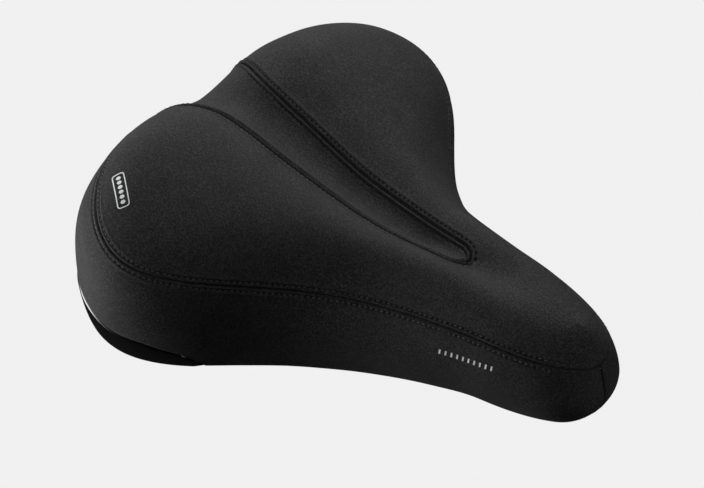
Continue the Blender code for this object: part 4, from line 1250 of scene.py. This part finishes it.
# ----------------------------------------------------------------------------- rails
def curve_through(points, step):
    p = [np.array(q, float) for q in points]
    p = [2 * p[0] - p[1]] + p + [2 * p[-1] - p[-2]]
    out = []
    for i in range(1, len(p) - 2):
        a, b, c, d = p[i - 1:i + 3]
        t0 = 0.0
        t1 = t0 + np.linalg.norm(b - a) ** 0.5
        t2 = t1 + np.linalg.norm(c - b) ** 0.5
        t3 = t2 + np.linalg.norm(d - c) ** 0.5
        n = max(1, int(round(np.linalg.norm(c - b) / step)))
        for k in range(n):
            t = t1 + (t2 - t1) * k / n
            a1 = (t1 - t) / (t1 - t0) * a + (t - t0) / (t1 - t0) * b
            a2 = (t2 - t) / (t2 - t1) * b + (t - t1) / (t2 - t1) * c
            a3 = (t3 - t) / (t3 - t2) * c + (t - t2) / (t3 - t2) * d
            b1 = (t2 - t) / (t2 - t0) * a1 + (t - t0) / (t2 - t0) * a2
            b2 = (t3 - t) / (t3 - t1) * a2 + (t - t1) / (t3 - t1) * a3
            out.append((t2 - t) / (t2 - t1) * b1 + (t - t1) / (t2 - t1) * b2)
    out.append(p[-2])
    return out


WELD_Z = BRIDGE_TOP - BRIDGE_T - GAP - RAIL_R
rear_path = [(-92, 27, WELD_Z), (-68, 27, WELD_Z), (-57, 25, WELD_Z - 0.7), (-48, 22.4, RAIL_Z), (-46, 22, RAIL_Z)]
front_path = [(14, 22, RAIL_Z), (16, 21.8, RAIL_Z), (25, 18.8, RAIL_Z + 1.8), (35, 13.8, RAIL_Z + 6.6), (46, 9.9, RAIL_Z + 12.5),
              (57, 8.2, RAIL_Z + 17.3), (68, 8, HINGE_Z - 0.2), (72, 8, HINGE_Z), (LOOP_X, LOOP_R, HINGE_Z)]
path = curve_through(rear_path, 1.5)[:-1]
path += [np.array((x, 22.0, RAIL_Z)) for x in np.linspace(-46, 14, 31)]
path += curve_through(front_path, 1.5)[1:-1]
for i in range(0, 25):
    a = math.radians(90 - i * 3.75)
    path.append(np.array((LOOP_X + LOOP_R * math.cos(a), LOOP_R * math.sin(a), HINGE_Z)))
path += [q * np.array((1, -1, 1)) for q in path[-2::-1]]
path = np.array(path)


def tube(name, path, radius, mat, body, segments=40):
    tg = unit(np.gradient(path, axis=0))
    side = unit(np.cross(np.array([0, 0, 1.0]), tg))
    up = np.cross(tg, side)
    a = np.linspace(0, 2 * np.pi, segments, endpoint=False)
    ring = np.cos(a)[None, :, None] * side[:, None, :] + np.sin(a)[None, :, None] * up[:, None, :]
    r = np.full(len(path), radius)
    v = path[:, None, :] + ring * r[:, None, None]
    # chamfered ends
    cap0 = [path[0] - tg[0] * 0.0 + ring[0] * (radius - 0.5), path[0] + tg[0] * 0.5 + ring[0] * radius]
    cap1 = [path[-1] - tg[-1] * 0.5 + ring[-1] * radius, path[-1] + ring[-1] * (radius - 0.5)]
    keep = (np.linalg.norm(path - path[0], axis=1) > 0.7) & (np.linalg.norm(path - path[-1], axis=1) > 0.7)
    v = np.concatenate([np.stack(cap0), v[keep], np.stack(cap1)], 0)
    faces = grid_faces(len(v), segments, closed=True).tolist()
    faces += [list(range(segments)), [(len(v) - 1) * segments + i for i in range(segments)][::-1]]
    o = make(name, v.reshape(-1, 3), faces, mat, body, sharp=45)
    weld(o)
    o.data.set_sharp_from_angle(angle=math.radians(45))
    return o


rails = tube("rail_rods", path, RAIL_R, PAINT, "rail_group")
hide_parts("rail_frame")


# ----------------------------------------------------------------------------- plates and blocks
def plate(name, outline, holes, z0, z1, mat, body, bevel=0.5):
    """A flat plate with holes and broken edges, from closed outlines in plan."""
    cu = bpy.data.curves.new(name, "CURVE")
    cu.dimensions = "2D"
    cu.fill_mode = "BOTH"
    for loop in [outline] + holes:
        sp = cu.splines.new("POLY")
        sp.points.add(len(loop) - 1)
        for pnt, (x, y) in zip(sp.points, loop):
            pnt.co = ((x - CLAMP_X) / 1000, y / 1000, 0, 1)
        sp.use_cyclic_u = True
    cu.extrude = (z1 - z0) / 2000.0 - bevel / 1000.0
    cu.bevel_depth = bevel / 1000.0
    cu.offset = -bevel / 1000.0
    cu.bevel_resolution = 2
    tmp = bpy.data.objects.new(name + "_tmp", cu)
    bpy.context.scene.collection.objects.link(tmp)
    tmp.location = (0, 0, ((z0 + z1) / 2 - RAIL_Z) / 1000.0)
    bpy.context.view_layer.update()
    mesh = bpy.data.meshes.new_from_object(tmp.evaluated_get(bpy.context.evaluated_depsgraph_get()))
    mesh.transform(tmp.matrix_world)
    bpy.data.objects.remove(tmp)
    mesh.materials.clear()
    mesh.materials.append(mat)
    o = bpy.data.objects.new(name, mesh)
    bpy.context.scene.collection.objects.link(o)
    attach(o, body)
    weld(o, 1e-6)
    o.data.set_sharp_from_angle(angle=math.radians(30))
    return o


def rounded_rect(x0, x1, y0, y1, r, steps=10):
    out = []
    for cx, cy, a0 in ((x1 - r, y1 - r, 0), (x0 + r, y1 - r, 90), (x0 + r, y0 + r, 180), (x1 - r, y0 + r, 270)):
        for i in range(steps + 1):
            a = math.radians(a0 + 90 * i / steps)
            out.append((cx + r * math.cos(a), cy + r * math.sin(a)))
    return out


def circle(cx, cy, r, n=48):
    return [(cx + r * math.cos(2 * math.pi * i / n), cy + r * math.sin(2 * math.pi * i / n)) for i in range(n)]


bridge = plate("bridge_plate", rounded_rect(-93, -67, -59, 59, 9),
               [circle(BOLT_X, BOLT_Y, 3.6)[::-1], circle(BOLT_X, -BOLT_Y, 3.6)[::-1],
                rounded_rect(-86, -74, -12, 12, 5.9)[::-1]],
               BRIDGE_TOP - BRIDGE_T, BRIDGE_TOP, ZINC, "rail_group", 0.4)
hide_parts("rear_bridge")

# welds between the rods and the bridge: short rippled fillets
for tag, s in (("l", 1), ("r", -1)):
    for j, y in enumerate((27 - 3.6, 27 + 3.6)):
        n = 46
        xs = np.linspace(-90, -70, n)
        ang = np.linspace(0, 2 * np.pi, 12, endpoint=False)
        rr = 1.05 + 0.12 * np.sin(xs * 4.2) + 0.05 * np.sin(xs * 9.7 + j)
        rr = rr * np.clip(np.minimum(xs + 90.01, -69.99 - xs) / 1.2, 0.15, 1) ** 0.5
        cy = s * y
        cz = BRIDGE_TOP - BRIDGE_T - 0.6
        v = np.stack([np.stack([np.full(12, x), cy + r * np.cos(ang), cz + r * 0.9 * np.sin(ang)], -1) for x, r in zip(xs, rr)], 0)
        faces = grid_faces(n, 12, closed=True).tolist() + [list(range(12)), [(n - 1) * 12 + i for i in range(12)][::-1]]
        w = make("weld_%s_%d" % (tag, j), v.reshape(-1, 3), faces, PAINT, "rail_group")
        weld(w)

E0, E1 = BRIDGE_TOP + GAP, BOSS_Z - GAP
EM = 0.5 * (E0 + E1)
for tag, s in (("left", 1), ("right", -1)):
    x, y = BOLT_X, s * BOLT_Y
    e = lathe("elastomer_body_" + tag,
              [(3.6, E0), (13.2, E0), (14.0, E0 + 1.0), (14.0, E0 + 4.5), (11.6, EM), (14.0, E1 - 4.5),
               (14.0, E1 - 1.0), (13.2, E1), (3.6, E1)], x, y, RUBBER, None, 1.2, 64, True, 60)
    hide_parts("elastomer_" + tag)
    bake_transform(e)
    # bolt with a fine rolled thread below the washer
    low_z = BRIDGE_TOP - BRIDGE_T
    prof = [(0, -43.6), (2.3, -43.6)]
    z = -43.1
    while z < low_z - 0.4:
        prof += [(2.95, z), (2.62, z + 0.35)]
        z += 0.7
    prof += [(3.0, z), (3.0, -6.3), (0, -6.3)]
    b = lathe("bolt_shank_" + tag, prof, x, y, ZINC, "saddle_top", 0.08, 32, False, 50)
    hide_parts("bolt_" + tag)
    w = lathe("washer_ring_" + tag, [(3.25, low_z - 1.9), (7.6, low_z - 1.9), (7.6, low_z - 0.3), (3.25, low_z - 0.3)],
              x, y, ZINC, "saddle_top", 0.3, 64, True)
    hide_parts("washer_" + tag)
    hexo = [(x + 10.0 / math.sqrt(3) * math.cos(math.radians(60 * i)), y + 10.0 / math.sqrt(3) * math.sin(math.radians(60 * i)))
            for i in range(6)]
    nut = plate("nut_hex_" + tag, hexo, [circle(x, y, 3.25, 32)[::-1]], low_z - 7.2, low_z - 2.2, ZINC, "saddle_top",
                0.35)
    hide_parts("nut_" + tag)


def screw(name, cx, cy, z_head, z_top, node_name):
    """A small pan-head screw seen from below, with a shallow round recess in its head."""
    prof = [(0, z_head - 1.55), (0.9, z_head - 1.62), (2.0, z_head - 1.95), (2.75, z_head - 1.45), (3.0, z_head - 0.9),
            (3.0, z_head - 0.3), (1.5, z_head - 0.3), (1.5, z_top), (0, z_top)]
    o = lathe(name, prof, cx, cy, ZINC, "saddle_top", 0.2, 40, False, 50)
    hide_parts(node_name)
    return o


gs = skin(np.array([GUARD_SCREW_T]), np.array([2.0]))[0]
gd = inward(np.array([GUARD_SCREW_T]))[0]
GSX, GSY, GSZ = gs[0] + gd[0] * 5.2, gs[1] + gd[1] * 5.2, gs[2]
for tag, s in (("left", 1), ("right", -1)):
    screw("guard_screw_pan_" + tag, GSX, s * GSY, GSZ, GSZ + 5.4, "guard_screw_" + tag)

FLOOR0, FLOOR1 = HINGE_Z - 7.0, HINGE_Z - 4.1
SEAT = BASE_TOP[1][-1] - SHELL - GAP
clip = plate("clip_plate", rounded_rect(74, 97.5, -8, 8, 4), [], FLOOR0, FLOOR1, CLIP_MAT, "saddle_top", 0.6)
post = plate("clip_post", rounded_rect(65, 81.6, -3.9, 3.9, 2.5), [], FLOOR1 - 1.2, SEAT, CLIP_MAT, "saddle_top",
             0.4)
lug = plate("clip_lug", rounded_rect(90.4, 97.0, -6, 6, 2.5), [], FLOOR1 - 1.2, SEAT, CLIP_MAT, "saddle_top",
            0.4)
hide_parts("nose_clip")
screw("nose_screw_pan_rear", NOSE_SCREWS[0], 0, FLOOR1 - 1.2, SEAT + 2.5, "nose_screw_rear")
screw("nose_screw_pan_front", NOSE_SCREWS[1], 0, FLOOR0, SEAT + 2.5, "nose_screw_front")


# ----------------------------------------------------------------------------- printed marks, generic
def bvh_of(o):
    from mathutils.bvhtree import BVHTree
    return BVHTree.FromObject(o, bpy.context.evaluated_depsgraph_get())


def decal(name, origin, ex, ey, cast, shapes, tree_, lift=0.10, wall=0.12):
    """Flat shapes laid on a panel: each shape is a pair of matching loops, or a loop and its middle."""
    verts, faces = [], []
    origin, ex, ey, cast = (np.array(v, float) for v in (origin, ex, ey, cast))

    def lay(u, v):
        p = origin + ex * u + ey * v - cast * 30.0
        hit = tree_.ray_cast(Vector(to_part(p)), Vector(cast))
        if hit[0] is None:
            raise RuntimeError(name + " misses its panel")
        n = np.array(hit[1])
        if np.dot(n, cast) > 0:
            n = -n
        return np.array(hit[0]) * 1000 + np.array([CLAMP_X, 0, RAIL_Z]), n

    for kind, a, b in shapes:
        top, low = [], []
        pts = list(a) + (list(b) if kind == "band" else [b])
        for u, v in pts:
            p, n = lay(u, v)
            top.append(p + n * (lift + wall))
            low.append(p + n * (lift - 0.25))
        base = len(verts)
        m = len(pts)
        verts += top + low
        k = len(a)
        for i in range(k):
            j = (i + 1) % k
            if kind == "band":
                faces.append((base + i, base + j, base + k + j, base + k + i))
                faces.append((base + m + i, base + m + k + i, base + m + k + j, base + m + j))
                faces.append((base + i, base + m + i, base + m + j, base + j))
                faces.append((base + k + i, base + k + j, base + m + k + j, base + m + k + i))
            else:
                faces.append((base + i, base + j, base + k))
                faces.append((base + m + i, base + m + k, base + m + j))
                faces.append((base + i, base + m + i, base + m + j, base + j))
    o = make(name, np.array(verts), faces, PRINT, smooth=False)
    weld(o)
    o.data.shade_flat()
    return o


def sub(loop, n=6):
    """More points along each side of a loop, so that it follows the cloth."""
    out = []
    for i in range(len(loop)):
        a, b = np.array(loop[i]), np.array(loop[(i + 1) % len(loop)])
        m = max(1, int(np.linalg.norm(b - a) / 0.8))
        for k in range(m):
            out.append(tuple(a + (b - a) * k / m))
    return out


TOP_TREE = bvh_of(cover_top)
RIGHT_TREE = bvh_of(cover_right)
tag_mid = np.array([-87.8, -81.8, 0.0])
tag_u = unit(np.array([15.8, -11.5, 0.0]))
tag_v = np.array([-tag_u[1], tag_u[0], 0.0])
HALF_L, HALF_W = 9.2, 2.75
outer = rounded_rect(-HALF_L, HALF_L, -HALF_W, HALF_W, 1.5, 6)
inner = rounded_rect(-HALF_L + 0.45, HALF_L - 0.45, -HALF_W + 0.45, HALF_W - 0.45, 1.1, 6)


def respace(loop, n=120):
    p = np.array(loop + [loop[0]])
    d = np.r_[0, np.cumsum(np.linalg.norm(np.diff(p, axis=0), axis=1))]
    s = np.linspace(0, d[-1], n + 1)[:-1]
    return [(float(np.interp(q, d, p[:, 0])), float(np.interp(q, d, p[:, 1]))) for q in s]


shapes = [("band", respace(outer), respace(inner))]
for i in range(6):
    cx = -6.5 + 2.6 * i
    for cy, r in ((0.0, 0.98),):
        hexl = [(cx + r * math.cos(math.radians(60 * j + 30)), cy + r * 1.15 * math.sin(math.radians(60 * j + 30))) for j in range(6)]
        shapes.append(("fan", sub(hexl), (cx, cy)))
decal("printed_tag", tag_mid + np.array([0, 0, 36.0]), tag_u, tag_v, (0, 0, -1), shapes, TOP_TREE)

dashes = []
u0 = unit(np.array([29.3, 0.0, 5.3]))
v0 = np.array([-u0[2], 0, u0[0]])
for i in range(10):
    cx = -13.4 + 2.98 * i
    h = 1.15
    w = 0.42
    lean = 0.55
    loop = [(cx - w - lean * 0.5, -h), (cx + w - lean * 0.5, -h), (cx + w + lean * 0.5, h), (cx - w + lean * 0.5, h)]
    dashes.append(("fan", sub(loop), (cx, 0.0)))
decal("printed_dashes", np.array([70.1, -34.0, 2.3]), u0, v0, (0, 1, 0), dashes, RIGHT_TREE)


# ----------------------------------------------------------------------------- studio
def stage_plane():
    mesh = bpy.data.meshes.new("studio_floor")
    s = 12.0
    mesh.from_pydata([(-s, -s, 0), (s, -s, 0), (s, s, 0), (-s, s, 0)], [], [(0, 1, 2, 3)])
    m, nt, b = tree("floor_paper")
    co = object_coords(nt)
    n = noise(nt, co, 3.0, 2.0)
    nt.links.new(ramp(nt, n, [(0.3, grey(0.80)), (0.7, grey(0.81))]), b.inputs["Base Color"])
    b.inputs["Roughness"].default_value = 1.0
    b.inputs["Specular IOR Level"].default_value = 0.0
    em = nt.nodes.new("ShaderNodeEmission")
    em.inputs["Color"].default_value = (0.875, 0.875, 0.875, 1)
    em.inputs["Strength"].default_value = 1.0
    dark = nt.nodes.new("ShaderNodeBsdfDiffuse")
    dark.inputs["Color"].default_value = (0.03, 0.03, 0.03, 1)
    lp = nt.nodes.new("ShaderNodeLightPath")
    mx = nt.nodes.new("ShaderNodeMixShader")
    nt.links.new(lp.outputs["Is Camera Ray"], mx.inputs["Fac"])
    nt.links.new(dark.outputs[0], mx.inputs[1])
    nt.links.new(em.outputs[0], mx.inputs[2])
    nt.links.new(mx.outputs[0], nt.nodes["Material Output"].inputs["Surface"])
    mesh.materials.append(m)
    o = bpy.data.objects.new("studio_floor", mesh)
    o.location = (0, 0, -0.75)
    bpy.context.scene.collection.objects.link(o)


stage_plane()

world = bpy.data.worlds.new("studio")
bpy.context.scene.world = world
world.use_nodes = True
wn = world.node_tree
for n in list(wn.nodes):
    wn.nodes.remove(n)
wout = wn.nodes.new("ShaderNodeOutputWorld")
seen = wn.nodes.new("ShaderNodeBackground")
seen.inputs["Color"].default_value = (0.875, 0.875, 0.875, 1)
lit = wn.nodes.new("ShaderNodeBackground")
wtc = wn.nodes.new("ShaderNodeTexCoord")
wsep = wn.nodes.new("ShaderNodeSeparateXYZ")
wn.links.new(wtc.outputs["Generated"], wsep.inputs[0])
wr = wn.nodes.new("ShaderNodeValToRGB")
wr.color_ramp.elements[0].position = 0.46
wr.color_ramp.elements[0].color = (0.002, 0.002, 0.002, 1)
wr.color_ramp.elements[1].position = 1.0
wr.color_ramp.elements[1].color = (0.03, 0.03, 0.03, 1)
wmap = wn.nodes.new("ShaderNodeMapRange")
wmap.inputs["From Min"].default_value = -1
wmap.inputs["From Max"].default_value = 1
wn.links.new(wsep.outputs["Z"], wmap.inputs["Value"])
wn.links.new(wmap.outputs["Result"], wr.inputs["Fac"])
wn.links.new(wr.outputs["Color"], lit.inputs["Color"])
wlp = wn.nodes.new("ShaderNodeLightPath")
wmx = wn.nodes.new("ShaderNodeMixShader")
wn.links.new(wlp.outputs["Is Camera Ray"], wmx.inputs["Fac"])
wn.links.new(lit.outputs[0], wmx.inputs[1])
wn.links.new(seen.outputs[0], wmx.inputs[2])
wn.links.new(wmx.outputs[0], wout.inputs["Surface"])


# the camera: the photograph's viewing angle
TH, EP, ROLL = math.radians(40.726), math.radians(41.001), math.radians(2.274)
DIST, F_PX, OX, OY = 1500.0, 3351.5, 17.256, -5.537
right_v = np.array([math.cos(TH), math.sin(TH), 0])
hv = np.array([-math.sin(TH), math.cos(TH), 0])
fwd = math.cos(EP) * hv + np.array([0, 0, -math.sin(EP)])
upv = math.sin(EP) * hv + np.array([0, 0, math.cos(EP)])
r2 = math.cos(ROLL) * right_v + math.sin(ROLL) * upv
u2 = -math.sin(ROLL) * right_v + math.cos(ROLL) * upv
cam_pos = to_part(-OX * r2 - OY * u2 - DIST * fwd)
cam = bpy.data.cameras.new("camera")
cam.sensor_fit = "HORIZONTAL"
cam.sensor_width = 36.0
cam.lens = F_PX / 704.0 * 36.0
cam.clip_start, cam.clip_end = 0.05, 60.0
co = bpy.data.objects.new("camera", cam)
co.matrix_world = Matrix(((r2[0], u2[0], -fwd[0], cam_pos[0]), (r2[1], u2[1], -fwd[1], cam_pos[1]),
                          (r2[2], u2[2], -fwd[2], cam_pos[2]), (0, 0, 0, 1)))
bpy.context.scene.collection.objects.link(co)
bpy.context.scene.camera = co


def softbox(name, azimuth, elevation, dist, size, power, aim=(0.0, 0.0, 0.04), size_y=None):
    """A large area light seen from the saddle at an azimuth, measured as the camera's is, and an elevation."""
    a, e = math.radians(azimuth), math.radians(elevation)
    d = np.array([math.sin(a) * math.cos(e), -math.cos(a) * math.cos(e), math.sin(e)])
    L = bpy.data.lights.new(name, "AREA")
    L.shape = "RECTANGLE"
    L.size = size
    L.size_y = size_y or size
    L.energy = power
    o = bpy.data.objects.new(name, L)
    pos = Vector(aim) + Vector(d) * dist
    o.location = pos
    o.rotation_euler = (Vector(aim) - pos).to_track_quat("-Z", "Y").to_euler()
    o.visible_camera = False
    bpy.context.scene.collection.objects.link(o)
    return o


softbox("back_top", 205, 42, 0.75, 0.45, 1.9, aim=to_part((-95.0, 0.0, 35.0)))
softbox("back_far", 225, 45, 0.75, 0.45, 2.6, aim=to_part((-95.0, 0.0, 35.0)))
softbox("rim_left", -134, 16, 0.8, 0.32, 0.8, aim=to_part((-95.0, 0.0, 35.0)))
softbox("edge_left", -108, 14, 0.8, 0.40, 0.3, aim=to_part((-95.0, 0.0, 35.0)))
softbox("key_left", -28, 36, 0.8, 0.45, 1.75, aim=to_part((-100.0, -50.0, 20.0)))
softbox("rim_right", 130, 35, 1.7, 0.9, 4.2)
softbox("low_left", -55, -5, 0.35, 0.20, 0.27, aim=to_part((70.0, -34.0, 2.0)))
softbox("corner", -50, -12, 0.45, 0.26, 1.9, aim=to_part((-92.0, -95.0, -8.0)))
softbox("nose_front", 88, 5, 0.22, 0.12, 0.08, aim=to_part((108.0, 0.0, -5.0)))

bpy.context.scene.view_settings.view_transform = "Standard"
bpy.context.scene.view_settings.look = "None"
